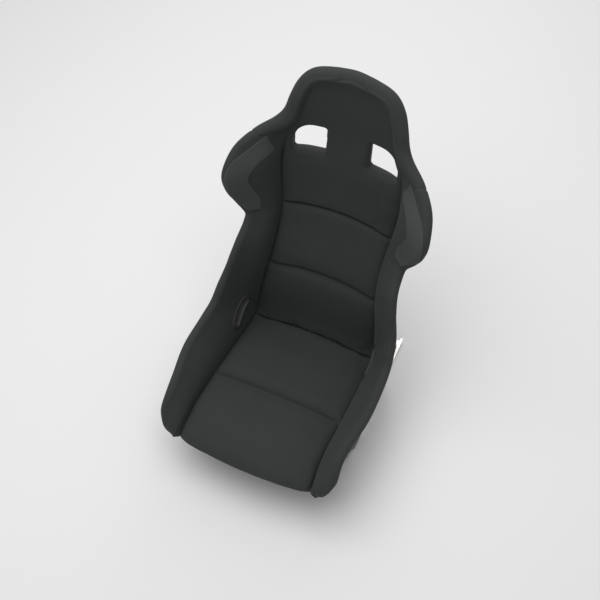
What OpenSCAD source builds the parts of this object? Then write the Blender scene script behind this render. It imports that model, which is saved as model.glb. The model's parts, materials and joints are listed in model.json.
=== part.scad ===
// Racing bucket seat on sliding floor rails.
// Frame: millimetres, +Z up, the seat faces -Y, +X is the sitter's left hand side as drawn.
// Origin: centre of the four floor bolts, at floor level.

/* [Seat body] */
// Width over the padded sides at the hips
hip_w = 524; // [480:2:570]
// Width over the shoulder wings
shoulder_w = 536; // [500:2:580]
// Height of the top of the head restraint above the floor
seat_h = 925; // [880:5:970]
// Length of the seat base, from the front lip to the back of the pan
base_l = 480; // [440:5:520]
// Wall of the moulded shell
shell_t = 4; // [3:0.5:6]
// Radius of the padded roll round the shell's edge
roll_r = 13; // [10:0.5:16]

/* [Padding] */
// Thickness of the base cushion
base_pad = 27; // [18:1:34]
// Thickness of the back cushion
back_pad = 22; // [14:1:28]
// Thickness of the head pad
head_pad_t = 19; // [12:1:26]
// Thickness of the side bolsters, at their middle
bolster_pad = 26; // [18:1:32]
// Depth of the sewn channels across the cushions
channel_d = 9; // [4:1:12]
// Thickness of the hook strips under the cushions
strip_t = 2; // [1.5:0.5:3]
// Thickness of the inlaid wing panels
panel_t = 2; // [1:0.5:3]

/* [Belt slots] */
// Width of a shoulder belt slot
shoulder_slot_w = 79; // [60:1:82]
// Height of a shoulder belt slot
shoulder_slot_h = 78; // [60:1:84]
// Distance of a shoulder belt slot from the middle plane
shoulder_slot_x = 57; // [52:1:62]
// Height of the lower edge of the shoulder belt slots above the floor
shoulder_slot_z = 660; // [655:1:670]
// Length of a lap belt slot
lap_slot_l = 86; // [70:1:95]
// Width of a lap belt slot
lap_slot_w = 24; // [18:1:30]
// Wall of the lap belt slot's bezel
bezel_t = 3; // [2:0.5:4]

/* [Side brackets] */
// Thickness of the side bracket's steel
bracket_t = 4; // [3:0.5:5]
// Distance between the front and rear shell bolts
shell_bolt_pitch = 290; // [270:5:300]
// Place of the rear shell bolts behind the origin
rear_bolt_y = 8; // [-5:1:15]
// Height of the rear shell bolts above the floor
rear_bolt_z = 138; // [130:1:150]
// Height of the front shell bolts above the floor
front_bolt_z = 190; // [180:1:200]
// Width of the bracket's foot
foot_w = 50; // [46:1:54]

/* [Slide rails] */
// Length of the lower rails
rail_l = 330; // [310:5:360]
// Width of the lower rails
rail_w = 36; // [34:1:40]
// Height of the lower rails
rail_h = 20; // [18:1:24]
// Sheet thickness of the rails
rail_t = 2.5; // [2:0.5:3]
// Distance between the front and rear floor bolts
floor_bolt_pitch = 280; // [250:5:290]
// Diameter of the floor bolt holes
floor_hole_d = 8.5; // [8.5:0.5:10.5]
// Forward offset of the upper rails from the lower ones at rest
seat_offset = 55; // [50:5:65]
// Length of the upper rails
upper_rail_l = 380; // [360:5:400]
// Height of the upper rails above the floor
upper_rail_z = 38; // [36:1:42]

/* [Release bar] */
// Diameter of the release bar
bar_d = 10; // [8:1:12]
// Reach of the release bar in front of its pivot
bar_reach = 295; // [270:5:300]
// Rise of the release bar towards the front, in degrees
bar_rise = 7.5; // [5:0.5:10]
// Diameter of the release bar's pivot pins
pin_d = 6; // [5:1:8]
// Length of the grip sleeve on the release bar
grip_l = 120; // [80:5:160]

/* [Hidden] */

left = 1;
right = -1;
// Small gaps: soft pieces to hard ones, rolls to the shell, hard pieces in their seats, running pieces
soft_gap = 0.4;
roll_gap = 1;
seat_gap = 0.05;
run_gap = 0.3;

// The seat's form: one row per station from the front lip, round the pan, up the back to the
// top of the head. A row holds the pan's middle (y, z), the knee between pan and wall (x, y, z)
// and the shell's edge (x, y, z), as drawn for the sizes in FORM_SIZE.
FORM = [
    [-430, 128, 204, -414, 130, 226, -411, 166],
    [-412, 149, 204, -397, 147, 233, -394, 209],
    [-375, 166, 204, -362, 156, 232, -362, 242],
    [-325, 172, 204, -318, 158, 236, -316, 257],
    [-225, 150, 204, -225, 138, 249, -232, 262],
    [-115, 122, 204, -115, 110, 249, -140, 260],
    [-20, 98, 203, -25, 88, 246, -85, 268],
    [30, 100, 201, 22, 92, 241, -50, 302],
    [58, 145, 197, 46, 140, 236, -31, 325],
    [78, 235, 188, 62, 225, 228, -17, 356],
    [102, 312, 176, 80, 305, 219, -5, 396],
    [134, 381, 168, 108, 375, 209, 20, 444],
    [164, 438, 168, 136, 432, 205, 56, 473],
    [185, 490, 170, 158, 482, 209, 76, 497],
    [198, 538, 174, 172, 532, 234, 69, 545],
    [207, 588, 177, 179, 585, 250, 56, 594],
    [213, 638, 176, 184, 640, 255, 59, 641],
    [217, 690, 170, 190, 690, 241, 96, 693],
    [219, 732, 156, 196, 734, 205, 136, 731],
    [220, 762, 140, 201, 762, 164, 165, 760],
    [220, 790, 128, 204, 788, 144, 182, 786],
    [221, 826, 116, 208, 823, 133, 192, 826],
    [223, 864, 100, 213, 860, 117, 205, 868],
    [224, 896, 72, 219, 892, 88, 215, 898],
    [224, 913, 28, 222, 911, 36, 221, 911]
];
FORM_SIZE = [524, 536, 925, 480];
FORM_TOP = len(FORM) - 1;
FORM_JOIN = 7;
FORM_BACK_Y = 30;
FORM_PAN_Z = 98;

// Stations of the pads' ends and seams
base_start = 0.15;
base_seams = [4];
base_end = 6.93;
back_start = 7.13;
back_seams = [10, 13];
back_end = 15.85;
head_start = 15.92;
head_end = 22.46;
bolster_start = 0.05;
neck = 18.5;
wing_from = 14;
wing_to = 18;
crease = 0.5;
cushion_side = 0.006;

// A smooth curve through the rows of a list, at place v
function along(list, v) =
    let (n = len(list) - 1, i = min(floor(v), n - 1), f = v - i,
        a = list[max(i - 1, 0)], b = list[i], c = list[i + 1], d = list[min(i + 2, n)])
    b + 0.5 * f * (c - a + f * (2 * a - 5 * b + 4 * c - d + f * (3 * (b - c) + d - a)));

function mix(a, b, t) = a + (b - a) * t;
function unit(p) = p / norm(p);
function step_up(t) = let (u = max(0, min(1, t))) u * u * (3 - 2 * u);

// The driving sizes stretch the form: widths at the hips and the shoulders, height, base length
kx_hip = hip_w / FORM_SIZE[0];
kx_shoulder = shoulder_w / FORM_SIZE[1];
kz = (seat_h - FORM_PAN_Z) / (FORM_SIZE[2] - FORM_PAN_Z);
ky = base_l / FORM_SIZE[3];
function stretched(p, v) = [
    p.x * mix(kx_hip, kx_shoulder, step_up((v - FORM_JOIN) / FORM_JOIN)),
    p.y < FORM_BACK_Y && v < FORM_JOIN + 1 ? FORM_BACK_Y + (p.y - FORM_BACK_Y) * ky : p.y,
    p.z > FORM_PAN_Z ? FORM_PAN_Z + (p.z - FORM_PAN_Z) * mix(1, kz, step_up((v - FORM_JOIN) / 4)) : p.z
];

// Inner face of the shell. v runs from the front lip (0) to the top; s from the middle (0) to
// the edge (1), mirrored for s below 0. The pan is a parabola, the wall a curve that starts
// steeply at the knee, and the knee is rounded between s = 0.3 and s = 0.7.
function pan(p, k, t) = [k.x * t, mix(p.x, k.y, t * t), mix(p.y, k.z, t * t)];
function wall(k, r, w) =
    let (m = [mix(k.x, r.x, 0.25), mix(k.y, r.y, 0.6), mix(k.z, r.z, 0.6)])
    (1 - w) * (1 - w) * k + 2 * w * (1 - w) * m + w * w * r;
function half_face(v, s) =
    let (q = along(FORM, v), p = [q[0], q[1]], k = [q[2], q[3], q[4]], r = [q[5], q[6], q[7]])
    s < 0.3 ? pan(p, k, 2 * s)
    : s > 0.7 ? wall(k, r, 2 * s - 1)
    : let (u = (s - 0.3) / 0.4, a = pan(p, k, 0.6), b = wall(k, r, 0.4))
        (1 - u) * (1 - u) * a + 2 * u * (1 - u) * k + u * u * b;
function face(v, s) =
    let (q = stretched(half_face(v, abs(s)), v)) s < 0 ? [-q.x, q.y, q.z] : q;

// Outward normal of the shell, and a point at depth d behind its inner face (d < 0: in front)
function outward(v, s) =
    let (h = 0.02, v0 = max(v - 5 * h, 0), v1 = min(v + 5 * h, FORM_TOP),
        s0 = max(s - h, -1), s1 = min(s + h, 1))
    unit(cross(face(v1, s) - face(v0, s), face(v, s1) - face(v, s0)));
function at_depth(v, s, d) = face(v, s) + d * outward(v, s);

// Closed solid between two grids of points of the same size, front is the side of grid a
function idx(i, j, m) = i * m + j;
module slab(a, b, flip = false) {
    n = len(a);
    m = len(a[0]);
    k = n * m;
    pts = concat([for (r = a) each r], [for (r = b) each r]);
    front = [for (i = [0 : n - 2], j = [0 : m - 2])
        each [[idx(i, j, m), idx(i + 1, j, m), idx(i + 1, j + 1, m)],
            [idx(i, j, m), idx(i + 1, j + 1, m), idx(i, j + 1, m)]]];
    back = [for (t = front) [t[0] + k, t[2] + k, t[1] + k]];
    ends = [for (i = [0 : n - 2])
        each [[idx(i, 0, m), idx(i, 0, m) + k, idx(i + 1, 0, m) + k],
            [idx(i, 0, m), idx(i + 1, 0, m) + k, idx(i + 1, 0, m)],
            [idx(i, m - 1, m), idx(i + 1, m - 1, m) + k, idx(i, m - 1, m) + k],
            [idx(i, m - 1, m), idx(i + 1, m - 1, m), idx(i + 1, m - 1, m) + k]]];
    sides = [for (j = [0 : m - 2])
        each [[j, j + 1, j + 1 + k], [j, j + 1 + k, j + k],
            [idx(n - 1, j, m), idx(n - 1, j + 1, m) + k, idx(n - 1, j + 1, m)],
            [idx(n - 1, j, m), idx(n - 1, j, m) + k, idx(n - 1, j + 1, m) + k]]];
    all = concat(front, back, ends, sides);
    polyhedron(pts, flip ? [for (t = all) [t[0], t[2], t[1]]] : all, convexity = 8);
}

// n + 1 places from a to b, crowded towards both ends
function spread(a, b, n) =
    [for (i = [0 : n]) let (t = i / n) mix(a, b, mix(t, (1 - cos(180 * t)) / 2, 0.7))];
// Places across a sewn channel at c
function seam_places(c) = [for (k = [-1, -0.45, 0, 0.45, 1]) c + k * channel_half];
// Places between cuts, with its ends, so that each cut has a place of its own
function places(cuts, step) =
    [cuts[0], for (c = [0 : len(cuts) - 2])
        each [for (p = spread(cuts[c], cuts[c + 1], max(1, round((cuts[c + 1] - cuts[c]) / step))))
            if (p > cuts[c]) p]];

// Stations of the shell's grid, closer together in the bend between pan and back
bend_from = 6;
bend_to = 8.4;
STATIONS = concat(places([0, bend_from], 0.6), places([bend_from, bend_to], 0.27),
    places([bend_to, wing_from, wing_to, FORM_TOP], 0.68));
function between(v0, v1) = [for (v = STATIONS) if (v > v0 + 0.05 && v < v1 - 0.05) v];
// The shell's stations between v0 and v1, with both ends and the places across the seams
function stations(v0, v1, seams = []) =
    let (e = 0.03 * (v1 - v0), near = 0.22)
    [v0, v0 + e,
        for (i = [0 : len(seams)])
            let (a = i == 0 ? v0 + e : seams[i - 1] + near, b = i == len(seams) ? v1 - e : seams[i] - near)
            each concat(between(a, b), i < len(seams) ? seam_places(seams[i]) : []),
        v1 - e, v1];

// A pad's profile across t from -1 to 1: 1 in the middle, rounded down to low at the rim
function crown(t, low) = let (u = min(1, abs(t))) max(low, sqrt(1 - pow(u, 7)) * (1 - 0.06 * u * u));
// How deep a sewn channel at place c cuts at v, from 0 to 1
channel_half = 0.14;
function channel(v, c) = let (u = min(1, abs(v - c) / channel_half)) 1 - sqrt(1 - (1 - u) * (1 - u));
function channels(v, seams) = len(seams) == 0 ? 0 : max([for (c = seams) channel(v, c)]);

// A cushion on the shell's inner face from v0 to v1, half(v) wide each way, with sewn channels
module cushion(v0, v1, half, thick, seams, across) {
    under = -soft_gap - strip_t;
    vs = stations(v0, v1, seams);
    ts = spread(-1, 1, across);
    mid = (v0 + v1) / 2;
    front = [for (v = vs)
        let (h = half(v), e = crown((v - mid) / (v1 - mid), 0.45), c = channel_d * channels(v, seams))
        [for (t = ts) at_depth(v, t * h, under - max(2, thick * e * crown(t, 0.3) - c))]];
    slab(front, [for (v = vs) let (h = half(v)) [for (t = ts) at_depth(v, t * h, under)]]);
}

// A padded roll along the shell's edge. A row holds the edge's place (v, s) and the place
// (v, s) where the padding starts on the inner face. Across the row q runs from the start (0)
// to the edge (1), then round the edge, then back by q on the outer face. hand is left where
// the rows run up the left side or over the top from left to right.
roll_q = [0.015, 0.06, 0.14, 0.25, 0.4, 0.6, 0.8, 1];
roll_arc = [40, 85, 130];
roll_back = [1, 0.8];
hem = 3;
function row_at(r, q) = [mix(r[2], r[0], q), mix(r[3], r[1], q)];
function row_depth(r, q, d) = let (p = row_at(r, q)) at_depth(p[0], p[1], d);
function roll_frames(rows, hand) =
    let (e = [for (r = rows) face(r[0], r[1])], last = len(rows) - 1)
    [for (i = [0 : last])
        let (n = outward(rows[i][0], rows[i][1]), t = e[min(i + 1, last)] - e[max(i - 1, 0)])
        [e[i], n, hand * unit(cross(n, t))]];
// Thickness of the roll's padding at q, for a middle thickness m
function roll_t(q, m) =
    mix(m, roll_r, step_up((q - 0.3) / 0.7)) * max(0.4, sqrt(1 - pow(1 - min(1, q / 0.16), 2)));
// Front and back grids of a roll; ends(r) swells it from a small nose to its full size
function roll_front(rows, m, ends, hand) =
    let (fr = roll_frames(rows, hand), q2 = roll_back[1])
    [for (i = [0 : len(rows) - 1]) let (r = rows[i], f = fr[i], k = ends(r), rr = roll_r * k) [
        for (q = roll_q) row_depth(r, q, -soft_gap - max(2, roll_t(q, m) * k)),
        for (a = roll_arc) f[0] + rr * (sin(a) * f[2] - cos(a) * f[1]),
        for (q = roll_back) row_depth(r, q, mix(shell_t + soft_gap + hem, rr, (q - q2) / (1 - q2)))]];
function roll_inside(rows, hand, g) =
    let (fr = roll_frames(rows, hand), n = len(roll_arc) + 1)
    [for (i = [0 : len(rows) - 1]) let (r = rows[i], f = fr[i]) [
        for (q = roll_q) row_depth(r, q, -g),
        for (a = [1 : n - 1]) f[0] + g * f[2] + mix(-g, shell_t + g, a / n) * f[1],
        for (q = roll_back) row_depth(r, q, shell_t + g)]];
module roll(rows, m, ends, hand, gap = roll_gap) {
    slab(roll_front(rows, m, ends, hand), roll_inside(rows, hand, gap), hand < 0);
}

// The D-shaped outline of a shoulder belt slot, grown by g: x away from the middle, y up
slot_trim_t = 2.6;
slot_corner = 9;
slot_bow = 44;
function arc(c, r, a0, a1, n) =
    [for (i = [0 : n]) let (a = mix(a0, a1, i / n)) c + r * [cos(a), sin(a)]];
// The slots move up and down with the back when the seat's height is changed
slot_z = FORM_PAN_Z + (shoulder_slot_z - FORM_PAN_Z) * kz;
back_cut_l = 500;
back_cut_y = 400;
function slot_outline(g) =
    let (x0 = shoulder_slot_x - g, x1 = shoulder_slot_x + shoulder_slot_w + g, y0 = slot_z - g,
        y1 = slot_z + shoulder_slot_h + g, c = slot_corner + g, b = slot_bow + g)
    concat(arc([x0 + c, y0 + c], c, 180, 270, 4), arc([x1 - c, y0 + c], c, 270, 360, 4),
        arc([x1 - b, y1 - b], b, 0, 90, 8), arc([x0 + c, y1 - c], c, 90, 180, 4));
module slot_prism(side, g) {
    mirror([side < 0 ? 1 : 0, 0, 0])
        rotate([90, 0, 0])
            translate([0, 0, -back_cut_y])
                linear_extrude(back_cut_l) polygon(slot_outline(g));
}

// The lap belt slot: a long hole across the side wall, leaning with the wall
lap_at = [-44, 199];
lap_lean = 33;
wall_cut_x = 150;
wall_cut_l = 100;
module lap_prism(side, g) {
    translate([side * wall_cut_x, lap_at.x, lap_at.y])
        rotate([lap_lean, 0, 0])
            rotate([0, side * 90, 0])
                linear_extrude(wall_cut_l) {
                    square([lap_slot_w + 2 * g, lap_slot_l - lap_slot_w], center = true);
                    for (e = [-1, 1])
                        translate([0, e * (lap_slot_l - lap_slot_w) / 2])
                            circle(d = lap_slot_w + 2 * g, $fn = 32);
                }
}

// Places of the shell's bolts, with the plane of the brackets' inner face
front_bolt_y = rear_bolt_y - shell_bolt_pitch;
plate_edge = 22;
boss_r = 16;
boss_proud = 3;
boss_sunk = 2;
insert_r = 7;
insert_l = 15;
bolt_r = 4;
function wall_x(y, z) = max([for (v = [1 : 0.25 : 8], s = [0.55 : 0.05 : 0.95])
    let (p = face(v, s)) abs(p.y - y) < plate_edge && abs(p.z - z) < plate_edge ? p.x : 0]);
bolt_places = [[front_bolt_y, front_bolt_z], [rear_bolt_y, rear_bolt_z]];
bracket_x = max([for (p = bolt_places) wall_x(p.x, p.y)]) + shell_t + boss_proud;
// Each boss starts in its own wall, at least as deep as its insert
function boss_l(p) = max(insert_l, bracket_x - wall_x(p.x, p.y) + boss_sunk);

module along_x(side, x, y, z) {
    translate([side * x, y, z]) rotate([0, side * 90, 0]) children();
}

// ---- Seat ----
fabric = [0.1, 0.11, 0.105];
fabric_light = [0.2, 0.215, 0.21];
steel = [0.68, 0.68, 0.67];
black_steel = [0.13, 0.13, 0.135];
plastic = [0.06, 0.06, 0.06];

module shell() {
    pan_s = spread(-crease, crease, 12);
    wall_s = [for (q = roll_q) mix(crease, 1, q)];
    vs = [for (i = [0 : len(STATIONS) - 1]) if (i == 0 || STATIONS[i] > STATIONS[i - 1]) STATIONS[i]];
    ss = concat([for (i = [len(wall_s) - 1 : -1 : 0]) -wall_s[i]], pan_s, wall_s);
    color([0.05, 0.05, 0.055])
        difference() {
            slab([for (v = vs) [for (s = ss) face(v, s)]],
                [for (v = vs) [for (s = ss) at_depth(v, s, shell_t)]]);
            for (side = [left, right]) {
                slot_prism(side, slot_trim_t + seat_gap);
                lap_prism(side, bezel_t + seat_gap);
                for (p = bolt_places)
                    along_x(side, bracket_x - boss_l(p) - 1, p.x, p.y)
                        cylinder(r = boss_r + seat_gap, h = boss_l(p) + 2, $fn = 48);
            }
        }
}

// Bosses bonded into the shell's side walls, each bored for its threaded insert
module shell_bosses() {
    color([0.05, 0.05, 0.055])
        for (side = [left, right], p = bolt_places)
            along_x(side, bracket_x - boss_l(p), p.x, p.y)
                difference() {
                    cylinder(r = boss_r, h = boss_l(p), $fn = 48);
                    translate([0, 0, boss_l(p) - insert_l - 1])
                        cylinder(r = insert_r + seat_gap, h = insert_l + 2, $fn = 48);
                }
}

module base_cushion() {
    color(fabric)
        cushion(base_start, base_end, function (v) crease - cushion_side, base_pad, base_seams, 12);
}

module back_cushion() {
    color(fabric)
        cushion(back_start, back_end, function (v) crease - cushion_side, back_pad, back_seams, 12);
}

// The ring between the head pad and the head roll: the edge's place and the roll's start
HEAD_RING = [
    [18.5, 1, 18.5, 0.53], [19, 1, 19, 0.56], [19.6, 1, 19.6, 0.59], [20.2, 1, 20.1, 0.6],
    [20.8, 1, 20.6, 0.61], [21.4, 1, 21.1, 0.61], [22, 1, 21.6, 0.58], [22.5, 1, 21.95, 0.53],
    [23, 1, 22.2, 0.45], [23.5, 1, 22.37, 0.34], [24, 1, 22.47, 0.22], [24, 0.5, 22.5, 0.11],
    [24, 0, 22.5, 0]
];
function head_half(v) =
    lookup(v, [[neck - 0.5, crease - cushion_side], for (r = HEAD_RING) [r[2], r[3] - 0.03]]);
function mirrored_back(rows) =
    [for (i = [len(rows) - 2 : -1 : 0]) [rows[i][0], -rows[i][1], rows[i][2], -rows[i][3]]];

module head_pad() {
    color(fabric)
        difference() {
            cushion(head_start, head_end, function (v) max(0.08, head_half(v)), head_pad_t, [], 12);
            for (side = [left, right]) slot_prism(side, 0);
        }
}

module head_roll() {
    color(fabric)
        roll(concat(HEAD_RING, mirrored_back(HEAD_RING)), roll_r + 3, function (r) 1, left, 1.8);
}

// The bolster's rows run up the side; its nose swells over the first nose_l stations
nose_l = 0.8;
function side_rows(side, vs) = [for (v = vs) [v, side, v, side * crease]];
function nose(r) = max(0.7, sqrt(1 - pow(1 - min(1, 0.1 + r[0] / nose_l), 2)));

module bolster(side) {
    end = neck - 0.08;
    rows = side_rows(side, concat(bolster_start, between(bolster_start, end), end));
    color(fabric)
        difference() {
            roll(rows, bolster_pad, function (r) nose(r), side);
            lap_prism(side, bezel_t + soft_gap);
            for (p = bolt_places)
                along_x(side, bracket_x - boss_l(p) - 1, p.x, p.y)
                    cylinder(r = boss_r + 1, h = 2 * boss_l(p), $fn = 48);
        }
}
module bolster_left() { bolster(left); }
module bolster_right() { bolster(right); }

// The lighter panel on the wing's front: it starts at wing_q(v) and ends on top of the roll
function wing_q(v) = 0.56 + 0.2 * pow(sin(90 * (v - wing_from) / (wing_to - wing_from) * 2), 2);
module wing_panel(side) {
    rows = side_rows(side, concat(wing_from, between(wing_from, wing_to), wing_to));
    fr = roll_frames(rows, side);
    lift = 0.6;
    function skin(d) = [for (i = [0 : len(rows) - 1]) let (r = rows[i], f = fr[i], q0 = wing_q(r[0])) [
        for (q = spread(q0, 1, 5)) row_depth(r, q, -soft_gap - roll_t(q, bolster_pad) - d),
        for (a = [30, 55]) f[0] + (roll_r + soft_gap + d) * (sin(a) * f[2] - cos(a) * f[1])]];
    color(fabric_light)
        slab(skin(lift + panel_t), skin(lift), side < 0);
}
module wing_panel_left() { wing_panel(left); }
module wing_panel_right() { wing_panel(right); }

// Hook strips glued to the shell, on which the cushions press
strip_s = [0.1, 0.17];
module hook_strips(all_v, v0, v1) {
    vs = [for (v = all_v) if (v >= v0 && v <= v1) v];
    ss = spread(strip_s[0], strip_s[1], 2);
    color(plastic)
        for (side = [left, right])
            slab([for (v = vs) [for (s = ss) at_depth(v, side * s, -strip_t)]],
                [for (v = vs) [for (s = ss) at_depth(v, side * s, -roll_gap)]], side < 0);
}
module base_hook_strips() { hook_strips(stations(base_start, base_end, base_seams), 1.3, 6.2); }
module back_hook_strips() { hook_strips(stations(back_start, back_end, back_seams), 8, 15.3); }

// Bezel of a lap belt slot: a sleeve through the wall with a lip on the padding
bezel_lip = 4;
function wall_patch(side, v0, v1, s0, s1, depth) =
    [for (v = spread(v0, v1, 12)) [for (s = spread(s0, s1, 8)) at_depth(v, side * s, depth(s))]];
module lap_slot_bezel(side) {
    function padded(s) = -soft_gap - roll_t((s - crease) / (1 - crease), bolster_pad);
    color(plastic)
        difference() {
            union() {
                intersection() {
                    slab(wall_patch(side, 4.4, 8.2, 0.58, 0.97, function (s) padded(s) - 3),
                        wall_patch(side, 4.4, 8.2, 0.58, 0.97, function (s) shell_t + 3), side < 0);
                    lap_prism(side, bezel_t);
                }
                intersection() {
                    slab(wall_patch(side, 4.4, 8.2, 0.58, 0.97, function (s) padded(s) - 3),
                        wall_patch(side, 4.4, 8.2, 0.58, 0.97, function (s) padded(s) - 1), side < 0);
                    lap_prism(side, bezel_t + bezel_lip);
                }
            }
            lap_prism(side, 0);
        }
}
module lap_slot_bezel_left() { lap_slot_bezel(left); }
module lap_slot_bezel_right() { lap_slot_bezel(right); }

// Rubber trim on the cut edge of a shoulder belt slot
module shoulder_slot_trim(side) {
    color(plastic)
        intersection() {
            slab(wall_patch(side, 15.8, 18.9, 0.08, 0.56, function (s) -1.8),
                wall_patch(side, 15.8, 18.9, 0.08, 0.56, function (s) shell_t + 2), side < 0);
            difference() {
                slot_prism(side, slot_trim_t);
                slot_prism(side, 0.4);
            }
        }
}
module shoulder_slot_trim_left() { shoulder_slot_trim(left); }
module shoulder_slot_trim_right() { shoulder_slot_trim(right); }

module threaded_inserts() {
    color("goldenrod")
        for (side = [left, right], p = bolt_places)
            along_x(side, bracket_x - insert_l, p.x, p.y)
                difference() {
                    cylinder(r = insert_r, h = insert_l, $fn = 48);
                    translate([0, 0, -1]) cylinder(r = bolt_r, h = insert_l + 2, $fn = 32);
                }
}

// ---- Side brackets: an angle of steel with a slot for each shell bolt ----
bracket_out = bracket_x + bracket_t;
rail_x = bracket_out - foot_w / 2;
foot_z = upper_rail_z;
foot_top = foot_z + bracket_t;
foot_bolt_pitch = 220;
foot_bolt_y = -seat_offset - 40;
foot_bolt_ys = [foot_bolt_y - foot_bolt_pitch / 2, foot_bolt_y + foot_bolt_pitch / 2];
slot_travel = 16;
bolt_hole_r = 4.3;
bend_r = 6;
function bracket_section() = concat(
    [[foot_w, bend_r + 10], [foot_w, bend_r]],
    arc([foot_w - bend_r, bend_r], bend_r, -15, -75, 4),
    [[foot_w - bend_r, 0], [0, 0], [0, bracket_t], [foot_w - bend_r, bracket_t]],
    arc([foot_w - bend_r, bend_r], bend_r - bracket_t, -75, -15, 2),
    [[foot_w - bracket_t, bend_r], [foot_w - bracket_t, bend_r + 10]]);
module side_bracket(side) {
    y0 = front_bolt_y - plate_edge;
    y1 = rear_bolt_y + plate_edge;
    foot_y0 = foot_bolt_ys[0] - 18;
    color(black_steel)
        mirror([side < 0 ? 1 : 0, 0, 0])
            difference() {
                union() {
                    translate([bracket_x, 0, 0])
                        rotate([90, 0, 90])
                            linear_extrude(bracket_t)
                                polygon([[foot_y0, foot_z + bend_r], [y1, foot_z + bend_r],
                                    [y1, rear_bolt_z + 14], [y1 - 12, rear_bolt_z + plate_edge],
                                    [rear_bolt_y - 18, rear_bolt_z + plate_edge],
                                    [rear_bolt_y - 36, rear_bolt_z - 2],
                                    [front_bolt_y + 70, front_bolt_z - 46],
                                    [front_bolt_y + plate_edge, front_bolt_z + plate_edge],
                                    [y0 + 12, front_bolt_z + plate_edge], [y0, front_bolt_z + 14],
                                    [y0, front_bolt_z - plate_edge]]);
                    translate([bracket_out - foot_w, y1, foot_z])
                        rotate([90, 0, 0])
                            linear_extrude(y1 - foot_y0) polygon(bracket_section());
                }
                for (p = bolt_places, z = [-slot_travel / 2, slot_travel / 2])
                    along_x(left, bracket_x - 1, p.x, p.y + z)
                        cylinder(r = bolt_hole_r, h = bracket_t + 2, $fn = 32);
                for (p = bolt_places)
                    translate([bracket_x - 1, p.x - bolt_hole_r, p.y - slot_travel / 2])
                        cube([bracket_t + 2, 2 * bolt_hole_r, slot_travel]);
                for (y = foot_bolt_ys)
                    translate([rail_x, y, foot_z - 1])
                        cylinder(r = bolt_hole_r, h = bracket_t + 2, $fn = 32);
            }
}
module side_bracket_left() { side_bracket(left); }
module side_bracket_right() { side_bracket(right); }

// A hexagon bolt: its seat at z = 0, the shank of length l down, the head up
head_h = 5.3;
head_af = 13;
module hex_bolt(r, l) {
    cylinder(d = head_af / cos(30), h = head_h, $fn = 6);
    translate([0, 0, -l]) cylinder(r = r, h = l + 0.1, $fn = 32);
}
washer_t = 1.6;
washer_r = 9;
module shell_bolts() {
    color(steel)
        for (side = [left, right], p = bolt_places)
            along_x(side, bracket_out + washer_t, p.x, p.y)
                hex_bolt(bolt_r - seat_gap, bracket_t + washer_t + insert_l - 2);
}
module shell_bolt_washers() {
    color(steel)
        for (side = [left, right], p = bolt_places)
            along_x(side, bracket_out, p.x, p.y)
                difference() {
                    cylinder(r = washer_r, h = washer_t, $fn = 48);
                    translate([0, 0, -1]) cylinder(r = bolt_r + 0.2, h = washer_t + 2, $fn = 32);
                }
}

// ---- Upper rails: a channel with two flanges that run in the lower rail ----
web_half = 9.5;
flange_half = 13.7;
flange_z = 8;
pivot_y = -60;
pivot_z = 27;
module upper_rail(side) {
    color(steel)
        translate([side * rail_x, 0, 0])
            difference() {
                translate([0, upper_rail_l / 2 - seat_offset, 0])
                    rotate([90, 0, 0])
                        linear_extrude(upper_rail_l)
                            difference() {
                                union() {
                                    translate([-web_half, flange_z])
                                        square([2 * web_half, upper_rail_z - flange_z]);
                                    translate([-flange_half, flange_z]) square([2 * flange_half, rail_t]);
                                }
                                translate([rail_t - web_half, flange_z - 1])
                                    square([2 * (web_half - rail_t), upper_rail_z - flange_z - rail_t + 1]);
                            }
                for (y = foot_bolt_ys)
                    translate([0, y, upper_rail_z - rail_t - 1])
                        cylinder(r = bolt_hole_r, h = rail_t + 2, $fn = 32);
                translate([-side * (web_half + 1), pivot_y, pivot_z])
                    rotate([0, side * 90, 0]) cylinder(d = pin_d + 2 * seat_gap, h = rail_t + 2, $fn = 32);
            }
}
module upper_rail_left() { upper_rail(left); }
module upper_rail_right() { upper_rail(right); }

nut_h = 6.5;
module foot_bolts() {
    color(steel)
        for (side = [left, right], y = foot_bolt_ys)
            translate([side * rail_x, y, foot_top])
                hex_bolt(bolt_r - seat_gap, bracket_t + rail_t + nut_h + 2);
}
module foot_nuts() {
    color(steel)
        for (side = [left, right], y = foot_bolt_ys)
            translate([side * rail_x, y, upper_rail_z - rail_t - nut_h])
                difference() {
                    rotate([0, 0, 30]) cylinder(d = head_af / cos(30), h = nut_h, $fn = 6);
                    translate([0, 0, -1]) cylinder(r = bolt_r, h = nut_h + 2, $fn = 32);
                }
}

// Plastic glides clipped on the flanges
glide_l = 24;
glide_ys = [-100, 60];
module glides(side) {
    x0 = web_half + run_gap;
    x1 = rail_w / 2 - rail_t - run_gap;
    z0 = rail_t + run_gap;
    z1 = rail_h - rail_t - run_gap;
    color("ivory")
        for (y = glide_ys, hand = [left, right])
            translate([side * rail_x, y, 0])
                mirror([hand < 0 ? 1 : 0, 0, 0])
                    difference() {
                        translate([x0, -glide_l / 2, z0]) cube([x1 - x0, glide_l, z1 - z0]);
                        translate([x0 - 1, -glide_l / 2 - 1, flange_z - seat_gap])
                            cube([flange_half + seat_gap - x0 + 1, glide_l + 2, rail_t + 2 * seat_gap]);
                    }
}
module glides_left() { glides(left); }
module glides_right() { glides(right); }

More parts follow.
